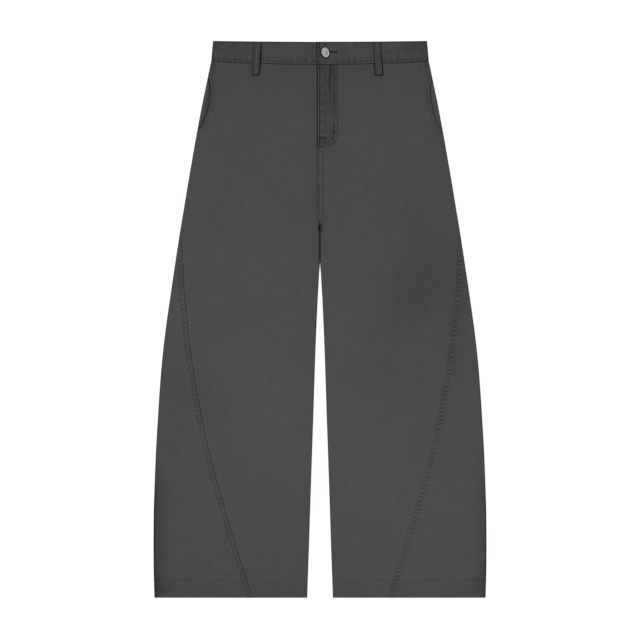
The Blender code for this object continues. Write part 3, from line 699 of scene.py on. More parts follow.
def fly_detail(detail):
    """The stitched fly: its folded edge, its rows, the crease over the zip and the puckers."""
    x, y = detail.x, detail.y
    edge, row = x - centre_seam(y) - GAP / 2, beyond_fly(x, y)
    lapped = ramp(y, LAP_START - 14, LAP_FULL)
    fly = ramp(y, FLY_END - 5, FLY_END - 2)
    inside = (1 - ramp(row, -3.0, 1.0)) * fly
    top = ramp(y, 430.0, 440.0) * inside
    below = (1 - fly) * ramp(y, CROTCH_FRONT, CROTCH_FRONT + 30)
    faded = (0.4 + 0.6 * ramp(y, 335.0, 385.0)) * inside * ramp(edge, 1.0, 4.0)
    detail.add(0.0, (0.23 + 0.04 * ramp(x, 14.0, 24.0)) * faded)
    # Painted shade along the fly's folded edge
    detail.add(-folded(edge, 0.4) * lapped, mix(0.5, 0.95, fly) * lapped * bell(edge - 0.3, 1.15))
    # Painted shadow at the top of the fly, under the waistband
    detail.add(0.0, (0.06 + 0.1 * ripple(y, 3.0, 55)) * top)

    detail.sewn(edge - FLY_EDGE_ROW, y, 51, 0.3, 0.08, 0.8, fly)
    for number, place in enumerate(CENTRE_ROWS):
        detail.sewn(edge - place * drawn_in(y), y, 54 + number, 0.35, 0.12, 0.5, below)
    low = 1 - ramp(y, 350.0, 430.0)
    for number, (across, down, shade, deepens) in enumerate(FLY_ROWS):
        outside = beyond_fly(x, y, across, down)
        along = y - 1.3 * np.maximum(FLY_CENTRE_Y - y, 0.0) + x
        detail.sewn(outside, along, 57 + number, 0.35, 0.2, shade + deepens * low, fly, 7.5)

    lines = {"edge": edge, "x": x, "row": row, "crease": x - zip_crease(y),
             "wrinkle": y - (318.4 - 0.27 * x)}
    shares = {"lapped": lapped, "below": below, **fly_shares(x, y, fly, inside, top)}
    detail.marks(FLY_MARKS, lines, shares)


def leg_detail(side, out, y, from_seam, tapered, hem_seed):
    """What a main front panel and an outer barrel panel have in common."""
    detail = Detail(side * out, y, 11)
    detail.crease()
    detail.fade()
    detail.ditch(from_seam, SEAM_LIP[side].depth, 0.0, tapered)
    hem_detail(detail, hem_seed)
    detail.rim(outer_edge(y) - out)
    return detail


def front_detail(side, out, y):
    """Everything fine on a main front panel."""
    from_seam, slit = barrel_seam(y) - out, out - inner_edge(y)
    tapered = ramp(outer_edge(y) - barrel_seam(y), 0.5, 4.0) * (1 - ramp(y, 135.0, 147.0))
    detail = leg_detail(side, out, y, from_seam, tapered, 71)
    x = detail.x
    # Painted shade of the barrel seam's ditch, drawn on the front
    detail.line(from_seam - 1.1, SEAM_LIP[side].line, 0.8, tapered)
    pocket_detail(detail, out, POCKET_LINE[side])
    waist_detail(detail)
    beside_loops(detail)
    detail.rim(slit, 0.2, 1 - ramp(y, 40.0, 80.0))
    crotch = bell(y - CROTCH_FRONT - 5.0, 9.0)
    # Painted shade, nearly black, in the deep hollow at the crotch
    detail.add(0.0, 0.97 * np.minimum(1.3 * crotch * bell(x + 0.7, 2.3), 1.0))
    open_slit = ramp(y, 60.0, 100.0) * (1 - ramp(y, CROTCH_FRONT, CROTCH_FRONT + 8.0))
    shares = {"right seam": tapered * (side < 0), "crotch": crotch, "slit": open_slit}
    detail.marks(FRONT_MARKS, {"seam": from_seam, "x": x, "slit": slit}, shares)
    if side > 0:
        fly_detail(detail)
        return detail
    seam, sewn = centre_seam(y), ramp(y, 154.0, 176.0)
    detail.rise = detail.rise * (1 - ramp(x, seam - 2.0, seam - 0.5) * sewn)
    # Painted shade on the right front along the left front's lapped edge
    shade = mix(0.3, mix(0.4, 0.62, ramp(y, 350.0, 430.0)), ramp(y, 290.0, 310.0))
    detail.line(seam - x - 0.4, shade, 0.9, sewn)
    return detail


def side_detail(side, out, y):
    """Everything fine on an outer barrel panel."""
    from_seam, depth = out - barrel_seam(y) - GAP, outer_edge(y) - out
    tapered = ramp(outer_edge(y) - barrel_seam(y), 0.5, 4.0)
    detail = leg_detail(side, out, y, from_seam, tapered, 73)
    roomy = ramp(depth, 2.0, 5.0)
    lip = SEAM_LIP[side]
    detail.roped(from_seam, y, SEAM_ROPE[side], 65, roomy)
    for number, (row, shade) in enumerate(zip(BARREL_ROWS, (0.04, lip.row))):
        detail.sewn(from_seam - row, y, 61 + number, 0.4, 0.16, shade, roomy, 5.5)
    low, strong = ramp(-y, 250.0, 330.0), 1.0 if side < 0 else 0.6
    # Painted shade along the side edge, low on the leg, stronger on the right leg
    detail.add(0.0, low * strong * (0.5 * bell(depth, 3.2) + 0.2 * bell(depth, 14.0)))
    tack = 1 - ramp(depth, 8.0, 16.0)
    shares = {
        "gleam": -lip.gleam * roomy,
        "waves": ripple(y + 0.4 * depth, 6.5, 64) * low,
        "corner": strong * bell(y - HEM - 15.0, 14.0),
        "tack": tack, "dark tack": strong * tack,
    }
    detail.marks(SIDE_MARKS, {"seam": from_seam, "rim": depth, "hem": y - HEM}, shares)
    return detail


def beyond_button(x, y):
    """How far outside the leaning button's outline, seen from above, a point lies."""
    right, up = x - BUTTON_SEEN_X, y - BUTTON_SEEN_Y
    across = right * math.cos(BUTTON_TURN) + up * math.sin(BUTTON_TURN)
    along = up * math.cos(BUTTON_TURN) - right * math.sin(BUTTON_TURN)
    half = BUTTON_RADIUS * math.cos(BUTTON_TILT) + 0.3
    return (np.hypot(across / half, along / BUTTON_RADIUS) - 1) * BUTTON_RADIUS


def band_detail(x, y, end):
    """Everything fine on a front half of the waistband; end is the place of its cut end."""
    detail = Detail(x, y, 17, 0.1)
    above, below, aside = y - waist_seam(x) - GAP / 2, waist_top(x) - y, np.abs(x)
    detail.sewn(above - BAND_LOW_ROW, x, 81, 0.4, 0.1, 0.4)
    detail.sewn(below - BAND_TOP_ROW, x, 83, 0.4, 0.12, 0.14, pitch=8.0)
    detail.add(0.0, 0.06 * patchy(0.45 * x, 1.4 * y, 4.5, 90) * ramp(above, 12.0, 18.0))
    left = 0.04 + 0.08 * ramp(x, 0.0, 1.0)
    detail.add(0.0, left * ramp(aside, 115.0, 150.0) * ramp(above, 16.0, 26.0))
    detail.add(0.0, 0.09 * ramp(aside, 150.0, 186.0) * ramp(above, 12.0, 22.0))
    detail.add(0.0, 0.04 * ramp(aside, 60.0, 150.0))
    ridge = above - 20.0 - 0.8 * ripple(x, 30.0, 87)
    outer_part = ramp(aside, 70.0, 120.0)
    detail.add(0.16 * outer_part * ramp(-ridge, -1.0, 1.0))
    detail.add(-folded(above, 0.6) - folded(below, 0.6))
    detail.marks(BAND_MARKS, {"above": above, "ridge": ridge}, {"outer": outer_part})
    puckered = swells(x + 0.2 * above, 10.9, 85) * bell(above - 7.5, 5.6)
    puckered = puckered + 0.3 * ripple(x, 3.4, 89) * bell(above - 9.0, 5.0)
    # Puckers above the seam, painted lighter where they rise and darker where they sink, over a
    # darker strip
    detail.add(0.25 * puckered, 0.07 * bell(above - 6.0, 5.0) - 0.18 * puckered)
    upper = ripple(x, 9.0, 86) * (1 + 0.6 * ripple(x, 60.0, 84)) * bell(below - 7.0, 4.5)
    # Ripples near the top, painted lighter where they rise and darker where they sink, and a
    # little darker near the top edge
    detail.add(0.22 * upper, 0.03 * bell(below - 6.0, 3.5) - 0.09 * upper)
    detail.rim(below, 0.42)
    detail.rim(WAIST_HALF - aside)
    beside_loops(detail)
    if end < 0:
        band_end_detail(detail, np.abs(x - end))
    return detail


def band_end_detail(detail, from_end):
    """The lapped end of the band: its fold and row, the buttonhole and the button's shade."""
    x, y = detail.x, detail.y
    high = ramp(y, 467.0, 476.0)
    detail.sewn(from_end - BAND_END_ROW - high, y, 88, 0.4, 0.1, 0.5)
    # Painted shade along the lapped end's folded edge
    detail.add(-folded(from_end, 0.6), (0.4 + 0.4 * high) * bell(from_end, 0.6 + 0.5 * high))
    detail.add(0.0, 0.08 * ramp(from_end, 0.5, 2.0) * (1 - ramp(from_end, 5.0, 9.0)))
    lines = {"end": from_end, "hole": y - BUTTON_Y, "x": x, "button": beyond_button(x, y),
             "eye": np.hypot(x - HOLE_END, y - BUTTON_Y - 0.6)}
    ringed = mix(0.85, 0.35, ramp(y, BUTTON_Y + 2.0, BUTTON_Y + 6.0))
    shares = {
        "high": high, "slit": ramp(x, 4.0, 10.0) * (1 - ramp(x, 30.0, 38.0)),
        "ring": ringed * mix(1.6, 1.0, ramp(x, 2.0, 8.0)), "over": ramp(y, 473.0, 477.0),
    }
    detail.marks(END_MARKS, lines, shares)


# Columns of a panel as runs round its edge from the rim, and rows up the leg
RIM_RUNS = spaced(0.0, (RIM_HEIGHT, 2), (EDGE_ARC, 9))
FRONT_OUTER_RUNS = np.append(RIM_RUNS, spaced(EDGE_ARC, (10.0, 11), (20.0, 7), (40.0, 7))[1:])
FRONT_INNER_RUNS = np.append(RIM_RUNS, spaced(EDGE_ARC, (12.0, 13))[1:])
FLY_STEP, FLY_COLUMNS = 0.6, 47
FLY_FAN = (225.0, 292.0)
MIDDLE_COLUMNS = {1: 76, -1: 60}
FOCUS = {1: (0.59, 0.07, 0.05), -1: (0.70, 0.06, 0.045)}
FOCUS_FAN = (380.0, 412.0)
HEM_SPANS = ((HEM + 0.8, 5), (HEM + 3, 4), (HEM + 34, 16))
FRONT_ROWS = spaced(HEM, *HEM_SPANS, (60.0, 145), (290.0, 77), (330.0, 34), (440.0, 55),
                    (444.8, 6), (WAIST_SEAM, 6))
SIDE_OUTER_RUNS = np.append(RIM_RUNS, spaced(EDGE_ARC, (10.0, 6), (22.0, 6))[1:])
SIDE_SEAM_RUNS = spaced(0.0, (0.6, 3), (3.6, 6), (10.2, 14), (14.0, 4), (22.0, 4))
SIDE_MIDDLE_COLUMNS = 8
SIDE_ROWS = spaced(HEM, *HEM_SPANS, (SIDE_TIP, 400))
BACK_RUNS = np.append(RIM_RUNS[::2], spaced(RIM_RUNS[-1], (12.0, 11))[1:])
BACK_MIDDLE_COLUMNS = 14
BACK_ROWS = spaced(HEM, (HEM + 0.8, 4), (HEM + 30, 6), (HEM + 34, 8), (70.0, 100),
                   (104.0, 14), (440.0, 66), (WAIST_SEAM, 6))
FACING_ROWS = spaced(FACING_LOW, (FACING_HIGH, 60))
BAND_SHARES = spaced(0.0, (0.9, 5), (3.4, 4), (5.0, 4), (10.0, 7), (34.0, 14), (35.4, 3),
                     (37.0, 5), (38.5, 6)) / 38.5
BAND_STEP = 0.8
LOOP_ROWS, LOOP_COLUMNS = 60, 17


def hem_wall(y):
    return mix(CLOTH, HEM_WALL, hem_share(y))


def grid(rows, columns):
    """The same rows and columns as two arrays, one value a point."""
    return np.meshgrid(rows, columns, indexing="ij")


def beside(*parts):
    """Blocks of columns, side by side in one grid."""
    return np.concatenate(parts, axis=1)


def at(x, y, z):
    """Points from their places along the three axes."""
    return np.stack(np.broadcast_arrays(x, y, z), axis=-1)


def make_mesh(name, points, faces, tone, material):
    """A mesh in metres from points in millimetres, with the tone of each point kept on it."""
    mesh = bpy.data.meshes.new(name)
    mesh.from_pydata(np.asarray(points) * MM, [], faces)
    shades = mesh.attributes.new("tone", "FLOAT", "POINT")
    shades.data.foreach_set("value", np.asarray(tone, dtype=np.float32))
    mesh.materials.append(material)
    mesh.shade_smooth()
    item = bpy.data.objects.new(name, mesh)
    bpy.context.scene.collection.objects.link(item)
    return item


def cloth_shell(name, outer, base, tone, wall, material, faces_up):
    """A closed wall of cloth from a grid of points of its outer face.

    The inner face is offset from the base, the same grid without its fine form, so that no
    wrinkle makes the wall cross itself.
    """
    rows, columns = tone.shape
    normal = np.cross(np.gradient(base, axis=1), np.gradient(base, axis=0))
    normal /= np.linalg.norm(normal, axis=2, keepdims=True)
    upward = normal[..., 2].mean() > 0
    if upward != faces_up:
        normal = -normal
    inner = base - normal * (np.ones_like(tone) * wall)[..., None]
    points = np.concatenate([outer.reshape(-1, 3), inner.reshape(-1, 3)])
    number = np.arange(rows * columns).reshape(rows, columns)
    corners = (number[:-1, :-1], number[:-1, 1:], number[1:, 1:], number[1:, :-1])
    top = np.stack(corners, axis=-1).reshape(-1, 4)
    rim = np.concatenate([number[0, :-1], number[:-1, -1], number[-1, :0:-1], number[:0:-1, 0]])
    after = np.roll(rim, -1)
    below = rows * columns
    sides = np.stack([after, rim, rim + below, after + below], axis=-1)
    faces = np.concatenate([top, top[:, ::-1] + below, sides])
    if upward != faces_up:
        faces = faces[:, ::-1]
    # The inner face takes the darker tone of painted shade
    both = np.concatenate([tone.ravel(), np.full(below, INNER_SHADED_TONE)])
    return make_mesh(name, points, faces.tolist(), both, material)


def cut_size(base):
    """Width, length and area in metres of the cloth that a grid of points shows."""
    across = np.linalg.norm(np.diff(base, axis=1), axis=2).sum(axis=1).max()
    along = np.linalg.norm(np.diff(base, axis=0), axis=2).sum(axis=0).max()
    first = base[1:, 1:] - base[:-1, :-1]
    second = base[1:, :-1] - base[:-1, 1:]
    area = np.linalg.norm(np.cross(first, second), axis=2).sum() / 2
    return across * MM, along * MM, area * MM * MM


def lay_cloth(name, node, place, rise, tone, wall, material, faces_up=True, cut=None):
    """A shell of cloth in its node's place, which hides the node's own part; the size and slot of
    its cut are worked out but not used.

    The place is where its points lie without their fine form, and the rise is that form.
    """
    x, y, height = place
    base = at(x, y, height)
    item = cloth_shell(name, at(x, y, height + rise), base, tone, wall, material, faces_up)
    if cut:
        cut(item)
    width, length, area = cut_size(base)
    slot, area = SLOTS[material.name], min(area, width * length)
    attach(item, "root")
    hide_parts(node)


def focused(share, centre, width, pull):
    """Evenly spread shares from 0 to 1, drawn together round a centre."""
    return share + pull * (2 * share - 1 - np.tanh((share - centre) / width))


def front_columns(side, y, near, far):
    """Columns between a front's edges, drawn together beside the belt loop and on the fly."""
    count = y.shape[1]
    steps = np.arange(count, 0, -1)
    share = steps / (count + 1)
    even, near_loop = mix(near, far, share), ramp(y, *FOCUS_FAN)
    if side < 0:
        return mix(even, mix(near, far, focused(share, *FOCUS[side])), near_loop)
    fly_end = near + FLY_STEP * FLY_COLUMNS
    rest = np.clip((steps - FLY_COLUMNS) / (count + 1 - FLY_COLUMNS), 0.0, 1.0)
    rest = mix(rest, focused(rest, *FOCUS[side]), near_loop)
    fine = np.where(steps <= FLY_COLUMNS, near + FLY_STEP * steps, mix(fly_end, far, rest))
    return mix(even, fine, ramp(y, *FLY_FAN))


def front_plan(side, y):
    """Distance out and drop at the rounded edges, at each point of a front's grid of rows."""
    outer_runs, inner_runs = FRONT_OUTER_RUNS, FRONT_INNER_RUNS
    count, tail = len(outer_runs), len(inner_runs)
    first, middle, last = y[:, :count], y[:, count:-tail], y[:, -tail:]
    start = np.maximum(pocket_run(first), seam_run(first))
    inward, outer_down = edge_profile(start + outer_runs)
    from_outer = outer_edge(first) - inward
    rounding = 1 - ramp(last, CROTCH_FRONT, SPLIT_START)
    inward, inner_down = edge_profile(inner_runs[::-1], rounding)
    from_inner = front_edge(side, last) + inward
    far = outer_edge(middle) - edge_profile(
        np.maximum(pocket_run(middle), seam_run(middle)) + outer_runs[-1])[0]
    rounding = 1 - ramp(middle, CROTCH_FRONT, SPLIT_START)
    near = front_edge(side, middle) + edge_profile(inner_runs[-1], rounding)[0]
    between = front_columns(side, middle, near, far)
    return beside(from_outer, between, from_inner), beside(outer_down, 0 * between, inner_down)


def front_grid(side):
    count = len(FRONT_OUTER_RUNS) + MIDDLE_COLUMNS[side] + len(FRONT_INNER_RUNS)
    rows = grid(FRONT_ROWS, np.arange(count))[0]
    y = bent_to_waist(front_plan(side, rows)[0], rows)
    out, down = front_plan(side, y)
    return out, y, down


def front_height(side, out, y, down):
    """Height of a front's outer face without its fine form."""
    return FRONT_LEVEL - down + front_lift(side, side * out, y) * flatness(down)


def make_front(side, word, material):
    """The main front panel of one leg, from the waist seam to the hem."""
    out, y, down = front_grid(side)
    place = side * out, y, front_height(side, out, y, down)
    detail = front_detail(side, out, y)
    lay_cloth(f"twill_front_{word}", f"front_{word}", place,
              detail.rise * flatness(down), detail.tone, hem_wall(y), material)


def side_end(y):
    """Run from the side rim to an outer barrel panel's edge at its seam."""
    seam = seam_run(y)
    return seam - mix(TIP_GAP, GAP, ramp(seam, EDGE_ARC, 2 * EDGE_ARC))


def side_grid():
    full_width = SIDE_OUTER_RUNS[-1] + SIDE_SEAM_RUNS[-1] + 2.0
    middle = np.arange(1, SIDE_MIDDLE_COLUMNS + 1) / (SIDE_MIDDLE_COLUMNS + 1)
    y = grid(SIDE_ROWS, np.zeros(1))[0]
    end = side_end(y)
    share = np.minimum(end / full_width, 1.0)
    first = SIDE_OUTER_RUNS * share
    last = end - SIDE_SEAM_RUNS[::-1] * share
    run = beside(first, mix(first[:, -1:], last[:, :1], middle), last)
    return run, y + 0 * run, end


def side_height(out, y, down, end, run):
    """Height of an outer barrel panel's face without its fine form."""
    rise = ALLOWANCE_RISE * ramp(end, EDGE_ARC, EDGE_ARC + ALLOWANCE + ALLOWANCE_SLOPE + 2.0)
    rise = rise * (1 - ramp(end - run, ALLOWANCE, ALLOWANCE + ALLOWANCE_SLOPE))
    lift = crown(out, y) + HEM_RISE * hem_share(y) + rise
    return FRONT_LEVEL - down + lift * flatness(down)


def make_side(side, word, material):
    """The outer barrel panel of one leg, between the side edge and the barrel seam."""
    run, y, end = side_grid()
    inward, down = edge_profile(run)
    out = outer_edge(y) - inward
    place = side * out, y, side_height(out, y, down, end, run)
    detail = side_detail(side, out, y)
    lay_cloth(f"twill_side_{word}", f"side_{word}", place,
              detail.rise * flatness(down), detail.tone, hem_wall(y), material)


def make_facing(side, word, material):
    """The pocket facing: it fills the opening out to the side edge and tucks under the front."""
    slope = spaced(-FACING_SLOPE - FACING_LIP, (-FACING_LIP, 8))
    under_runs = spaced(FACING_UNDER / 4, (FACING_UNDER, 3))
    columns = len(RIM_RUNS) + len(slope) + len(under_runs)
    y, column = grid(FACING_ROWS, np.arange(columns))
    opening = pocket_run(y)
    tucked = ramp(y, *FACING_TUCKS) * (1 - ramp(y, *FACING_LEAVES))
    filling = (opening - TIP_GAP) * column / (columns - 1)
    rim = np.broadcast_to(RIM_RUNS, (len(FACING_ROWS), len(RIM_RUNS)))
    under = beside(rim, opening[:, :1] + slope, opening[:, :1] + under_runs)
    run = mix(filling, under, tucked)
    inward, down = edge_profile(run)
    out = outer_edge(y) - inward
    sunk = ramp(y, *FACING_SINKS) * (1 - ramp(y, *FACING_RISES))
    sunk = sunk * ramp(run, opening + slope[0], opening + slope[-1])
    height = FRONT_LEVEL - down + crown(out, y) * flatness(down) - FACING_DROP * sunk
    detail = Detail(side * out, y, 19, 0.08)
    detail.rise = detail.rise * (1 - ramp(run, opening - 2.5, opening - 0.5))
    below = POCKET_LINE[side].below
    # Painted shadow on the facing below the opening's edge, and the facing a little darker all
    # over
    detail.add(0.0, below * bell(opening - run, 0.8) * ramp(run, 0.0, 3.0) + 0.07)
    detail.rim(outer_edge(y) - out)
    lay_cloth(f"twill_facing_{word}", f"pocket_facing_{word}",
              (side * out, y, height), detail.rise * flatness(down), detail.tone, CLOTH, material)


def back_plan(y):
    """Distance out and rise at the rounded edges, at each point of a back's grid of rows."""
    count = len(BACK_RUNS)
    first, middle, last = y[:, :count], y[:, count:-count], y[:, -count:]
    inward, outer_up = edge_profile(BACK_RUNS)
    from_outer = outer_edge(first) - inward
    rounding = 1 - ramp(last, CROTCH_BACK - CROTCH_FADE, CROTCH_BACK)
    inward, inner_up = edge_profile(BACK_RUNS[::-1], rounding)
    from_inner = mix(BACK_GAP / 2, inner_edge(last), rounding) + inward
    steps = np.arange(1, middle.shape[1] + 1) / (middle.shape[1] + 1)
    between = mix(from_outer[:, -1:], from_inner[:, :1], steps)
    up = beside(outer_up + 0 * first, 0 * between, inner_up)
    return beside(from_outer, between, from_inner), up


def lay_under(name, node, place, detail, wall, material):
    """Cloth whose outer face is the flat underside: its grooves go up into the cloth."""
    rise = -np.minimum(detail.rise, 0.0) * flatness(place[2])
    lay_cloth(name, node, place, rise, detail.tone, wall, material,
              faces_up=False)


def make_back(side, word, material):
    """One back leg panel, rounded up at its edges."""
    count = 2 * len(BACK_RUNS) + BACK_MIDDLE_COLUMNS
    rows = grid(BACK_ROWS, np.arange(count))[0]
    y = bent_to_waist(back_plan(rows)[0], rows)
    out, up = back_plan(y)
    detail = Detail(side * out, y, 23, 0.0)
    above = y - HEM
    detail.sewn(above - HEM_ROW, detail.x, 91, 0.5, 0.0, 0.13)
    detail.add(-folded(above, 0.9), 0.02 * hem_share(y))
    seat = ramp(y, CROTCH_BACK, CROTCH_BACK + 8)
    detail.ditch(out - GAP / 2, share=seat)
    detail.ditch(waist_seam(detail.x) - y)
    if side > 0:
        for number, row in enumerate(CENTRE_ROWS):
            detail.sewn(out - row, y, 93 + number, 0.5, 0.0, 0.12, seat)
    lay_under(f"twill_back_{word}", f"back_{word}", (side * out, y, up), detail, hem_wall(y),
              material)


def band_plan(x, share):
    """A point of the waistband in plan, from its seam at share 0 to its top edge at 1."""
    return mix(waist_seam(x) + GAP / 2, waist_top(x), share)


def band_side_plan(share):
    """The waistband's rounded side edge: place in plan, and depth below the flat."""
    run, share = RIM_RUNS[None, :], share[:, None]
    inward, down = edge_profile(run)
    level = band_plan(WAIST_HALF, share)
    x = WAIST_HALF + BAND_FLARE * (waist_top(WAIST_HALF) - level) - inward
    return x, band_plan(x, share), down + 0 * x


def band_lift(side, x):
    """The left end of the band rises over the right one, which sinks under it."""
    if side > 0:
        return BAND_RISE * (1 - ramp(x, BAND_RISE_FULL, BAND_RISE_END))
    return -BAND_DROP * ramp(x, BAND_DROP_START, BAND_DROP_FULL)


def make_front_band(side, word, end, material):
    """A front half of the waistband, from the side edge to its end past the centre."""
    edge_x, edge_y, edge_down = band_side_plan(BAND_SHARES)
    start, near_end = side * BAND_START, end + side * 1.2
    stops = np.linspace(start, near_end, round(abs(start - near_end) / BAND_STEP))
    stops = np.append(stops, end + side * np.array([0.8, 0.5, 0.3, 0.15, 0.0]))
    share, x = grid(BAND_SHARES, stops)
    y = beside(edge_y, band_plan(x, share))
    x = beside(side * edge_x, x)
    down = beside(edge_down, 0 * share)
    height = FRONT_LEVEL - down + (BAND_LEVEL - FRONT_LEVEL) * flatness(down)
    detail = band_detail(x, y, end)
    if side < 0:
        detail.rise = detail.rise * (1 - ramp(x, BAND_EDGE - 1.0, BAND_EDGE + 0.5))
        # Painted shadow beside the left half's lapped end, and painted shade on the underlap below
        # it, seen through the buttonhole
        detail.line(BAND_EDGE - x - 0.5, 0.8, 1.1)
        detail.add(0.0, 0.6 * ramp(x, BAND_EDGE, BAND_EDGE + 2.0))
    lay_cloth(f"twill_band_{word}", f"waistband_{word}",
              (x, y, height + band_lift(side, x)), detail.rise * flatness(down), detail.tone,
              BAND_WALL, material, cut=cut_buttonhole if side > 0 else None)


def cut_buttonhole(band):
    """The hole in the left half of the waistband: a slit with a round eye at the shank."""
    slit = math.asin(HOLE_SLIT / 2 / HOLE_RADIUS)
    eye = np.linspace(slit, 2 * math.pi - slit, 28)
    end = np.linspace(-math.pi * 0.8, math.pi * 0.8, 16)
    x = np.append(HOLE_RADIUS * np.cos(eye), HOLE_END - BUTTON_X + HOLE_END_RADIUS * np.cos(end))
    y = np.append(HOLE_RADIUS * np.sin(eye), HOLE_END_RADIUS * np.sin(end))
    count = len(x)
    levels = (BAND_LEVEL - BAND_WALL - 1.0, BAND_LEVEL + BAND_RISE + 1.0)
    points = np.concatenate([at(x + BUTTON_X, y + BUTTON_Y, level) for level in levels])
    faces = [list(range(count))[::-1], list(range(count, 2 * count))]
    for index in range(count):
        after = (index + 1) % count
        faces.append([index, after, after + count, index + count])
    cutter = make_mesh("hole_cutter", points, faces, np.full(2 * count, 0.5),
                       band.data.materials[0])
    cut = band.modifiers.new("hole", "BOOLEAN")
    cut.object = cutter
    cut.solver = "EXACT"
    depsgraph = bpy.context.evaluated_depsgraph_get()
    mesh = bpy.data.meshes.new_from_object(band.evaluated_get(depsgraph))
    band.modifiers.remove(cut)
    band.data = mesh
    bpy.data.objects.remove(cutter)


def make_back_band(material):
    """The back of the waistband, flat underneath and rounded up at both sides."""
    edge_x, edge_y, edge_up = band_side_plan(BAND_SHARES)
    stops = np.linspace(BAND_START, -BAND_START, round(BAND_START / BAND_STEP))
    share, x = grid(BAND_SHARES, stops)
    y = beside(edge_y, band_plan(x, share), edge_y[:, ::-1])
    x = beside(edge_x, x, -edge_x[:, ::-1])
    up = beside(edge_up, 0 * share, edge_up[:, ::-1])
    detail = Detail(x, y, 29, 0.0)
    above, below = y - waist_seam(x) - GAP / 2, waist_top(x) - y
    detail.sewn(above - BAND_LOW_ROW, x, 95, 0.5, 0.0, 0.13)
    detail.sewn(below - BAND_TOP_ROW, x, 97, 0.5, 0.0, 0.14)
    detail.add(-folded(above, 0.8) - folded(below, 0.9), 0.2 * bell(above, 1.0))
    lay_under("twill_band_back", "waistband_back", (x, y, up), detail, BAND_WALL, material)


def loop_place(loop, along, aside):
    """A point of a belt loop's outer face: place in plan, and height without fine form."""
    top = waist_top(loop.x_top) - GAP
    low, high = LOOP_BOTTOM + LOOP_SEWN, top - LOOP_SEWN / 2
    y = mix(LOOP_BOTTOM, top, along)
    x = mix(loop.x_bottom, loop.x_top, along) + aside
    arch = np.sin(math.pi * np.clip((y - low) / (high - low), 0.0, 1.0)) ** 2
    return x, y, LOOP_LEVEL + LOOP_ARCH * arch


def loop_detail(loop, x, y, along, aside):
    """The loop's folded edges, its two rows and the bar tacks that hold its ends."""
    detail = Detail(x, y, 37, 0.05)
    half = LOOP_WIDTH / 2
    from_side = half - np.abs(aside)
    length = waist_top(loop.x_top) - GAP - LOOP_BOTTOM
    from_low, from_high = along * length, (1 - along) * length
    detail.add(-folded(from_side, 0.8) - folded(from_low, 1.0) - folded(from_high, 0.8))
    for number, row in enumerate((-LOOP_ROW, LOOP_ROW)):
        detail.sewn(aside - row, y, 101 + number, 0.35, 0.1, 0.5, pitch=5.0)
    arched = np.sin(math.pi * along) ** 2
    detail.add(0.0, loop.half * arched * ramp(aside, -3.0, 0.0))
    foot = y - LOOP_BOTTOM - LOOP_CORNER * (np.abs(aside) / half) ** 4
    detail.marks(LOOP_MARKS, {"side": from_side, "middle": aside, "low": from_low,
                              "high": from_high, "foot": foot})
    return detail


def make_loop(loop, material):
    """A belt loop, sewn down at both ends and a little arched between them."""
    half = LOOP_WIDTH / 2
    aside = np.sin(np.linspace(-math.pi / 2, math.pi / 2, LOOP_COLUMNS)) * half
    along = (1 - np.cos(np.linspace(0.0, math.pi, LOOP_ROWS))) / 2
    along, aside = grid(along, aside)
    x, y, height = loop_place(loop, along, aside)
    y = y + LOOP_CORNER * (np.abs(aside) / half) ** 4 * (1 - ramp(along, 0.0, 0.06))
    detail = loop_detail(loop, x, y, along, aside)
    lay_cloth("twill_" + loop.name, loop.name, (x, y, height), detail.rise,
              detail.tone, LOOP_WALL, material)


# A row of stitches: its points, its thread's tone, the tone of the dark discs of painted shade at
# its needle holes, its pitch and its stitches' length
Seam = namedtuple("Seam", "points thread hole pitch length",
                  defaults=(0.86, 0.42, STITCH_PITCH, STITCH_LENGTH))


def stitch_ends(points, pitch, length):
    """Starts and ends of the stitches along a line of points, an even pitch apart."""
    steps = np.linalg.norm(np.diff(points, axis=0), axis=1)
    far = np.concatenate([[0.0], np.cumsum(steps)])
    starts = np.arange(pitch / 2, far[-1] - length, pitch)
    return [at(*[np.interp(place, far, axis) for axis in points.T])
            for place in (starts, starts + length)]


def stitch_points(seam, up, radius):
    """The points of a seam's stitches: rings along the thread, then the dark disc of painted shade
    at the needle hole, for each.
    """
    turn = np.linspace(0.0, 2 * math.pi, STITCH_SIDES, endpoint=False)
    lift = np.array([0.0, 0.0, up])
    first, second = stitch_ends(seam.points, seam.pitch, seam.length)
    along = second - first
    aside = at(-along[:, 1], along[:, 0], 0.0)
    aside = aside / np.linalg.norm(aside, axis=1, keepdims=True)
    points = []
    for share, size, sink in STITCH_RINGS:
        for angle in turn:
            place = first + along * share + aside * (radius * size * math.cos(angle))
            points.append(place + lift * (radius * size * math.sin(angle) + sink + 0.06))
    middle = second + along / seam.length * (seam.pitch - seam.length) / 2
    for angle in turn:
        across = aside * (HOLE_SIZE * math.cos(angle))
        forward = along / seam.length * (HOLE_SIZE * math.sin(angle))
        points.append(middle + across + forward + lift * 0.03)
    return np.stack(points, axis=1)


def make_stitches(name, seams, material, up=1.0, radius=STITCH_RADIUS):
    """All the stitches of some seams in one mesh: a short thread and a dark disc of painted shade
    at the needle hole for each.
    """
    sides, thread = STITCH_SIDES, STITCH_SIDES * len(STITCH_RINGS)
    body = [(start + side, start + (side + 1) % sides, start + sides + (side + 1) % sides,
             start + sides + side) for start in range(0, thread - sides, sides)
            for side in range(sides)]
    body += [tuple(range(sides - 1, -1, -1)), tuple(range(thread - sides, thread)),
             tuple(range(thread, thread + sides))]
    if up < 0:
        body = [face[::-1] for face in body]
    blocks = [stitch_points(seam, up, radius) for seam in seams]
    tones = [np.tile(np.repeat([seam.thread, seam.hole], [thread, sides]), len(block))
             for seam, block in zip(seams, blocks)]
    points = np.concatenate(blocks).reshape(-1, 3)
    faces = [tuple(start + corner for corner in face)
             for start in range(0, len(points), thread + sides) for face in body]
    item = make_mesh(name, points, faces, np.concatenate(tones), material)
    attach(item, "root")


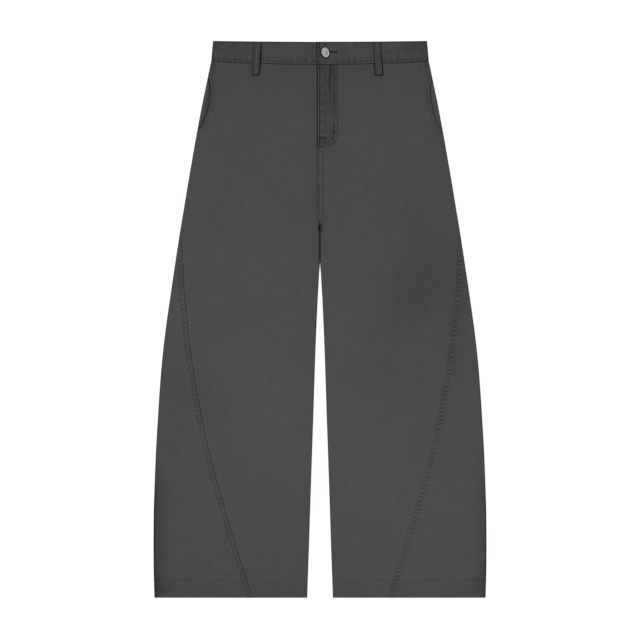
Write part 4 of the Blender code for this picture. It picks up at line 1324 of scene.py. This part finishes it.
def line_on_front(side, out, y):
    """Points on a front's outer face along a line."""
    rounding = 1 - ramp(y, CROTCH_FRONT, SPLIT_START)
    outer = edge_profile(run_to(outer_edge(y) - out))[1]
    inner = edge_profile(run_to(out - front_edge(side, y)), rounding)[1]
    down = np.maximum(outer, inner)
    rise = front_detail(side, out, y).rise
    return at(side * out, y, front_height(side, out, y, down) + rise * flatness(down))


def line_on_side(side, out, y):
    """Points on an outer barrel panel's face along a line."""
    run = run_to(outer_edge(y) - out)
    down = edge_profile(run)[1]
    z = side_height(out, y, down, side_end(y), run)
    return at(side * out, y, z + side_detail(side, out, y).rise * flatness(down))


def line_on_band(side, x, y, end):
    """Points on the outer face of a front half of the waistband along a line."""
    return at(x, y, BAND_LEVEL + band_lift(side, x) + band_detail(x, y, end).rise)


def leg_rows(side):
    """The rows on a leg: two on its barrel seam's allowance, the hem's and the pocket's."""
    seams = []
    for number, row in enumerate(BARREL_ROWS):
        y = spaced(118.0 - 14.0 * number, (HEM + 1.0, 300))
        # The first row on the left leg has paler thread and darker painted shade at its needle
        # holes
        strong = side > 0 and number == 0
        line = line_on_side(side, barrel_seam(y) + GAP + row, y)
        seams.append(Seam(line, 1.1 if strong else 0.9, 0.25 if strong else 0.5))
    y = np.full(120, HEM + HEM_ROW)
    split = barrel_seam(y[0])
    inner = np.linspace(inner_edge(y[0]) + 2.0, split - 1.0, 120)
    outer = np.linspace(split + 1.5, outer_edge(y[0]) - 2.5, 120)
    seams += [Seam(line_on_front(side, inner, y)), Seam(line_on_side(side, outer, y))]
    for number, row in enumerate(POCKET_ROWS):
        y = spaced(322.0 - 4.0 * number, (442.0, 120))
        out = outer_edge(y) - pocket_line(y) - row
        seams.append(Seam(line_on_front(side, out, y), 0.92, 0.55))
    return seams


def fly_rows():
    """The fly's edge row, its two J-shaped rows, and the rows beside the seam below it."""
    y = spaced(320.0, (443.0, 120))
    edge = line_on_front(1, centre_seam(y) + GAP / 2 + FLY_EDGE_ROW, y)
    seams = [Seam(edge, 0.95, 0.4)]
    for (across, down, *_), last in zip(FLY_ROWS, (100.0, 85.0)):
        turn = np.radians(np.linspace(0.0, last, 60))
        y = np.append(spaced(443.0, (FLY_CENTRE_Y + 0.5, 110)), FLY_CENTRE_Y - down * np.sin(turn))
        x = np.append(np.full(111, FLY_CENTRE_X + across), FLY_CENTRE_X + across * np.cos(turn))
        seams.append(Seam(line_on_front(1, x, y), 0.92, 0.45))
    for number, row in enumerate(CENTRE_ROWS):
        y = spaced(CROTCH_FRONT + 12.0, (318.0 - 4.0 * number, 140))
        out = centre_seam(y) + GAP / 2 + row * drawn_in(y)
        seams.append(Seam(line_on_front(1, out, y), 0.95, 0.4))
    return seams


def band_rows(side, end):
    """The waistband's lower and upper rows, and the row up its lapped end."""
    stop = end + BAND_END_ROW if side > 0 else BAND_EDGE - 2.0
    x = np.linspace(side * (WAIST_HALF - 3.5), stop, 200)
    places = [(x, waist_seam(x) + GAP / 2 + BAND_LOW_ROW), (x, waist_top(x) - BAND_TOP_ROW)]
    if side > 0:
        y = np.linspace(waist_seam(stop) + 5.5, waist_top(stop) - 3.5, 60)
        places.append((np.full(60, stop), y))
    return [Seam(line_on_band(side, x, y, end)) for x, y in places]


def loop_rows(loop):
    """Both rows along a loop, and close stitches across its ends."""
    def line(along, aside, shift=0.0, lift=0.0):
        x, y, z = loop_place(loop, along + shift, aside)
        rise = loop_detail(loop, x, y, along + 0 * aside, aside + 0 * along).rise
        return at(x, y, z + rise + lift)

    length = waist_top(loop.x_top) - GAP - LOOP_BOTTOM
    seams = [Seam(line(np.linspace(0.03, 0.97, 60), row), 0.95, 0.5)
             for row in (-LOOP_ROW, LOOP_ROW)]
    aside = np.linspace(-LOOP_WIDTH / 2 + 0.8, LOOP_WIDTH / 2 - 0.8, 20)
    for along in (LOOP_LOW_TACK / length, 1 - LOOP_HIGH_TACK / length):
        for shift in (-0.45, 0.0, 0.45):
            seams.append(Seam(line(along, aside, shift / length, 0.1), 0.85, 0.6, 1.3, 1.2))
    return seams


def buttonhole_stitches():
    """Close stitches that bind the edges of the buttonhole's slit and its round end."""
    seams = []
    top = BAND_LEVEL + BAND_RISE - 0.15
    reach = np.array([HOLE_SLIT / 2 + 0.1, HOLE_SLIT / 2 + 2.0])
    for x in np.arange(BUTTON_X + BUTTON_RADIUS - 2.0, HOLE_END - 0.6, 0.5):
        for side in (-1, 1):
            seams.append(Seam(at(x, BUTTON_Y + side * reach, top), 0.8, 0.75, 0.1, 1.8))
    reach = np.array([HOLE_END_RADIUS + 0.1, HOLE_END_RADIUS + 1.9])
    for angle in np.linspace(-0.75 * math.pi, 0.75 * math.pi, 15):
        line = at(HOLE_END + reach * math.cos(angle), BUTTON_Y + reach * math.sin(angle), top)
        seams.append(Seam(line, 0.8, 0.75, 0.1, 1.7))
    return seams


def under_rows():
    """The rows on the flat underside, which lie in its grooves: hems, centre seam, waistband."""
    level = STITCH_RADIUS + 0.1
    low = HEM + HEM_ROW
    seams = []
    for side in (-1, 1):
        x = side * np.linspace(inner_edge(low) + 3.0, outer_edge(low) - 3.0, 120)
        seams.append(Seam(at(x, low, level)))
    for row in CENTRE_ROWS:
        seams.append(Seam(at(row, np.linspace(CROTCH_BACK + 9.0, 443.0, 160), level)))
    x = np.linspace(-WAIST_HALF + 4.0, WAIST_HALF - 4.0, 240)
    for y in (waist_seam(x) + GAP / 2 + BAND_LOW_ROW, waist_top(x) - BAND_TOP_ROW):
        seams.append(Seam(at(x, y, level)))
    return seams


def turned(name, profile, steps, material):
    """A closed turned shape from a profile of distances out and heights, from top to bottom."""
    angles = np.linspace(0.0, 2 * math.pi, steps, endpoint=False)
    inside = [(out, height) for out, height in profile if out > 0]
    points = [(0.0, 0.0, profile[0][1])]
    for out, height in inside:
        points += [(out * math.cos(a), out * math.sin(a), height) for a in angles]
    points.append((0.0, 0.0, profile[-1][1]))
    last = len(points) - 1
    faces = [(0, 1 + i, 1 + (i + 1) % steps) for i in range(steps)]
    for ring in range(len(inside) - 1):
        start = 1 + ring * steps
        for i in range(steps):
            after = (i + 1) % steps
            faces.append((start + i, start + steps + i, start + steps + after, start + after))
    start = 1 + (len(inside) - 1) * steps
    faces += [(last, start + (i + 1) % steps, start + i) for i in range(steps)]
    return make_mesh(name, points, faces, np.ones(len(points)), material)


def paint_cap(cap, dish, shoulder):
    """The plating is duller in the dish and pale on the rolled rim; round its side it is painted
    dark, painted shade under the leaning cap.
    """
    out = np.array([math.hypot(*vertex.co.xy) for vertex in cap.data.vertices]) / MM
    tone = mix(0.8, 1.0, ramp(out, 0.55 * dish, dish + 0.6))
    tone = tone * (1 - 0.9 * ramp(out, shoulder - 0.1, shoulder + 0.3))
    cap.data.attributes["tone"].data.foreach_set("value", tone.astype(np.float32))


def make_button(metal, dark_metal):
    """A plain jeans button: a rolled rim round a shallow dish, leaning on its upright shank."""
    radius, half, roll = BUTTON_RADIUS, BUTTON_THICK / 2, BUTTON_RIM / 2
    floor, dish = half - BUTTON_DISH, radius - BUTTON_RIM - 0.5
    profile = [(dish * share, floor + BUTTON_DOME * (1 - share**2))
               for share in np.linspace(0.0, 1, 11)]
    for angle in np.radians(np.linspace(160, -60, 14)):
        profile.append((radius - roll + roll * math.cos(angle),
                        half - roll + roll * math.sin(angle)))
    profile += [(radius - 0.5, -half * 0.6), (radius - 1.2, -half), (0.0, -half)]
    cap = turned("button_cap", profile, 72, metal)
    paint_cap(cap, dish, radius - 0.5)
    cap.location = ((BUTTON_X - CAP_ASIDE) * MM, (BUTTON_Y - CAP_DOWN) * MM, BUTTON_LEVEL * MM)
    cap.rotation_euler = (0.0, BUTTON_TILT, BUTTON_TURN)
    foot, flange = BAND_LEVEL - BAND_DROP + GAP, SHANK_RADIUS + 0.25
    profile = [(0.0, BUTTON_LEVEL), (SHANK_RADIUS, BUTTON_LEVEL), (SHANK_RADIUS, foot + 0.6),
               (flange, foot + 0.2), (flange, foot), (0.0, foot)]
    shank = turned("button_shank", profile, 32, dark_metal)
    shank.location = (BUTTON_X * MM, BUTTON_Y * MM, 0.0)
    for item in (cap, shank):
        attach(item, "root")
    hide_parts("button")


class Nodes:
    """Short ways to add and link the nodes of one material."""

    def __init__(self, name):
        self.material = bpy.data.materials.new(name)
        self.material.use_nodes = True
        self.tree = self.material.node_tree
        self.place = self.add("ShaderNodeTexCoord").outputs["Object"]

    def add(self, kind, inputs=(), **settings):
        """A node, with its settings, and its inputs set to values or linked to sockets."""
        node = self.tree.nodes.new(kind)
        for key, value in settings.items():
            setattr(node, key, value)
        self.put(node, dict(inputs))
        return node

    def put(self, node, inputs):
        for key, value in inputs.items():
            if isinstance(value, bpy.types.NodeSocket):
                self.tree.links.new(value, node.inputs[key])
            else:
                node.inputs[key].default_value = value

    def shaded(self, **inputs):
        """The material, once its shader's inputs, named with _ for a space, are set."""
        named = {key.replace("_", " "): value for key, value in inputs.items()}
        self.put(self.tree.nodes["Principled BSDF"], named)
        return self.material

    def sum(self, first, second, operation="ADD"):
        return self.add("ShaderNodeMath", {0: first, 1: second}, operation=operation).outputs[0]

    def times(self, first, second):
        return self.sum(first, second, "MULTIPLY")

    def mapped(self, **inputs):
        """The object's coordinates, turned or stretched."""
        return self.add("ShaderNodeMapping", {"Vector": self.place, **inputs}).outputs[0]

    def wave(self, place, period, inputs=(), **settings):
        """Waves a period apart, in millimetres."""
        scale = math.pi / (10 * period * MM)
        node = self.add("ShaderNodeTexWave", {"Vector": place, "Scale": scale, **dict(inputs)},
                        **settings)
        return node.outputs["Fac"]

    def noise(self, place, scale, detail=2.0, roughness=0.5):
        inputs = {"Vector": place, "Scale": scale, "Detail": detail, "Roughness": roughness}
        return self.add("ShaderNodeTexNoise", inputs).outputs["Fac"]

    def tinted(self, colour, shade):
        """A colour times a shade and the tone that the mesh keeps."""
        tone = self.add("ShaderNodeAttribute", attribute_name="tone", attribute_type="GEOMETRY")
        shade = self.times(shade, tone.outputs["Fac"])
        return self.add("ShaderNodeVectorMath", {0: colour, "Scale": shade},
                        operation="SCALE").outputs[0]

    def bump(self, height, strength, distance):
        inputs = {"Height": height, "Strength": strength, "Distance": distance}
        return self.add("ShaderNodeBump", inputs).outputs[0]


def twill_material(name, colour):
    """Garment-dyed cotton twill: fine slanted ribs, slubby yarns and an uneven dye."""
    nodes = Nodes(name)
    ribs = nodes.wave(nodes.mapped(Rotation=(0.0, 0.0, math.radians(-28))), TWILL_PERIOD,
                      {"Distortion": 0.7, "Detail": 1.0, "Detail Scale": 2.0})
    cross = nodes.wave(nodes.place, WEFT_PERIOD, {"Distortion": 0.4, "Detail": 1.0},
                       bands_direction="Y")
    slub = nodes.noise(nodes.mapped(Scale=(2200.0, 150.0, 400.0)), 1.0)
    cloud = nodes.noise(nodes.place, 38.0, 5.0, 0.6)
    pile = nodes.noise(nodes.place, 300.0, 3.0, 0.7)
    shade = 1.0
    for value, amount in ((ribs, 0.22), (slub, 0.3), (cloud, 0.1), (pile, 0.36)):
        around_one = nodes.sum(nodes.times(nodes.sum(value, -0.5), amount), 1.0)
        shade = nodes.times(around_one, shade)
    height = nodes.sum(ribs, nodes.times(cross, 0.35))
    height = nodes.sum(height, nodes.times(slub, 0.8))
    return nodes.shaded(Base_Color=nodes.tinted(colour, shade),
                        Normal=nodes.bump(height, 0.9, TWILL_BUMP),
                        Roughness=nodes.sum(nodes.times(slub, 0.12), 0.82),
                        Specular_IOR_Level=0.12, Sheen_Weight=0.05, Sheen_Roughness=0.5)


def thread_material(name, colour):
    """Spun thread: fine slanted ply lines and a slight lustre."""
    nodes = Nodes(name)
    ply = nodes.wave(nodes.mapped(Rotation=(0.0, 0.0, math.radians(35))), PLY_PERIOD)
    shade = nodes.sum(nodes.times(ply, 0.3), 0.85)
    return nodes.shaded(Base_Color=nodes.tinted(colour, shade),
                        Normal=nodes.bump(ply, 0.6, PLY_BUMP),
                        Roughness=0.6, Specular_IOR_Level=0.3)


def metal_material(name, colour, roughness):
    """Plated metal with fine turned brushing, a little warmer and duller in its hollows."""
    nodes = Nodes(name)
    rings = nodes.wave(nodes.place, BRUSH_PERIOD, {"Distortion": 1.2, "Detail": 2.0},
                       wave_type="RINGS", rings_direction="Z")
    specks = nodes.noise(nodes.place, 900.0, 3.0)
    dull = (*[0.86 * value for value in colour], 1.0)
    blend = nodes.add("ShaderNodeMix", data_type="RGBA")
    nodes.put(blend, {"Factor": specks, "A": dull, "B": (*colour, 1.0)})
    return nodes.shaded(Base_Color=nodes.tinted(blend.outputs["Result"], 1.0), Metallic=0.55,
                        Roughness=nodes.sum(nodes.times(specks, 0.15), roughness),
                        Normal=nodes.bump(rings, 0.15, BRUSH_BUMP))


# The slot that each material of cloth and thread belongs to, and the colours of the finishes
SLOTS = {"cotton_twill": "twill", "thread": "twill", "cotton_twill_band": "twill_band",
         "band_thread": "twill_band"}
TWILL_COLOUR = (0.0572, 0.0608, 0.0553)
BAND_COLOUR = (0.05, 0.0531, 0.0479)
METAL_COLOUR = (0.76, 0.71, 0.665)
SHANK_COLOUR = (0.35, 0.32, 0.28)

# Fine texture: spacings in millimetres, and the depth of the relief in metres
TWILL_PERIOD, WEFT_PERIOD, PLY_PERIOD, BRUSH_PERIOD = 0.62, 0.55, 0.26, 0.22
TWILL_BUMP, PLY_BUMP, BRUSH_BUMP = 0.00011, 0.00005, 0.00001

# The key light: how far it stands towards the waist, its height and its softness in degrees
KEY_TURN, KEY_HEIGHT, KEY_SOFTNESS, KEY_STRENGTH = 12.0, 62.0, 30.0, 2.33
FILL_STRENGTH = 0.475

# The view in metres: its width, the height of the plane it is measured on, and the lens
VIEW_WIDTH, VIEW_LEVEL, VIEW_Y = 1.12, 0.0055, -0.0013
LENS, SENSOR = 120.0, 36.0


def make_floor():
    """A plain pale floor."""
    bpy.ops.mesh.primitive_plane_add(size=12.0, location=(0.0, 0.0, -0.0003))
    floor = bpy.context.object
    floor.name = "studio_floor"
    nodes = Nodes("pale_floor")
    pale = nodes.sum(nodes.times(nodes.noise(nodes.place, 60.0), 0.01), 0.1)
    colour = nodes.add("ShaderNodeCombineColor", {"Red": pale, "Green": pale, "Blue": pale})
    floor.data.materials.append(nodes.shaded(
        Base_Color=colour.outputs[0], Roughness=0.9, Emission_Color=(1.0, 1.0, 1.0, 1.0),
        Emission_Strength=0.93))


def aim(item, target):
    """Turns an item so that it looks at a point."""
    direction = np.array(target) - np.array(item.location)
    level = math.hypot(direction[0], direction[1])
    item.rotation_euler = (math.atan2(level, -direction[2]), 0.0,
                           math.atan2(-direction[0], direction[1]))


def light_scene():
    """A far soft key from the left and a little above, and an even pale fill."""
    key = bpy.data.lights.new("key_light", "SUN")
    key.angle = math.radians(KEY_SOFTNESS)
    key.energy = KEY_STRENGTH
    item = bpy.data.objects.new("key_light", key)
    turn, height = math.radians(KEY_TURN), math.radians(KEY_HEIGHT)
    item.location = (-3 * math.cos(turn) * math.cos(height),
                     3 * math.sin(turn) * math.cos(height), 3 * math.sin(height))
    aim(item, (0.0, 0.0, 0.0))
    bpy.context.scene.collection.objects.link(item)
    world = bpy.data.worlds.new("studio")
    world.use_nodes = True
    background = world.node_tree.nodes["Background"]
    background.inputs["Color"].default_value = (1.0, 1.0, 1.0, 1.0)
    background.inputs["Strength"].default_value = FILL_STRENGTH
    bpy.context.scene.world = world
    bpy.context.scene.view_settings.view_transform = "Standard"


def make_camera():
    """A long lens straight above the garment."""
    camera = bpy.data.cameras.new("camera")
    camera.lens, camera.sensor_width = LENS, SENSOR
    item = bpy.data.objects.new("camera", camera)
    item.location = (0.0, VIEW_Y, VIEW_LEVEL + VIEW_WIDTH * LENS / SENSOR)
    bpy.context.scene.collection.objects.link(item)
    bpy.context.scene.camera = item


def main():
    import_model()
    make_camera()
    make_floor()
    light_scene()
    twill = twill_material("cotton_twill", TWILL_COLOUR)
    band_twill = twill_material("cotton_twill_band", BAND_COLOUR)
    thread = thread_material("thread", TWILL_COLOUR)
    band_thread = thread_material("band_thread", BAND_COLOUR)
    metal = metal_material("button_plate", METAL_COLOUR, 0.34)
    dark_metal = metal_material("shank_metal", SHANK_COLOUR, 0.4)

    for side, word in SIDES:
        make_back(side, word, twill)
        make_facing(side, word, twill)
        make_front(side, word, twill)
        make_side(side, word, twill)
        make_stitches(f"stitches_leg_{word}", leg_rows(side), thread)
    make_back_band(band_twill)
    for (side, word), end in zip(SIDES, (BAND_UNDERLAP, BAND_EDGE)):
        make_front_band(side, word, end, band_twill)
        make_stitches(f"stitches_band_{word}", band_rows(side, end), band_thread)
    for loop in LOOPS:
        make_loop(loop, band_twill)
        make_stitches("stitches_" + loop.name, loop_rows(loop), band_thread)
    make_stitches("stitches_fly", fly_rows(), thread)
    make_stitches("stitches_buttonhole", buttonhole_stitches(), band_thread, radius=0.17)
    make_stitches("stitches_underside", under_rows(), thread, up=-1.0)
    make_button(metal, dark_metal)


main()
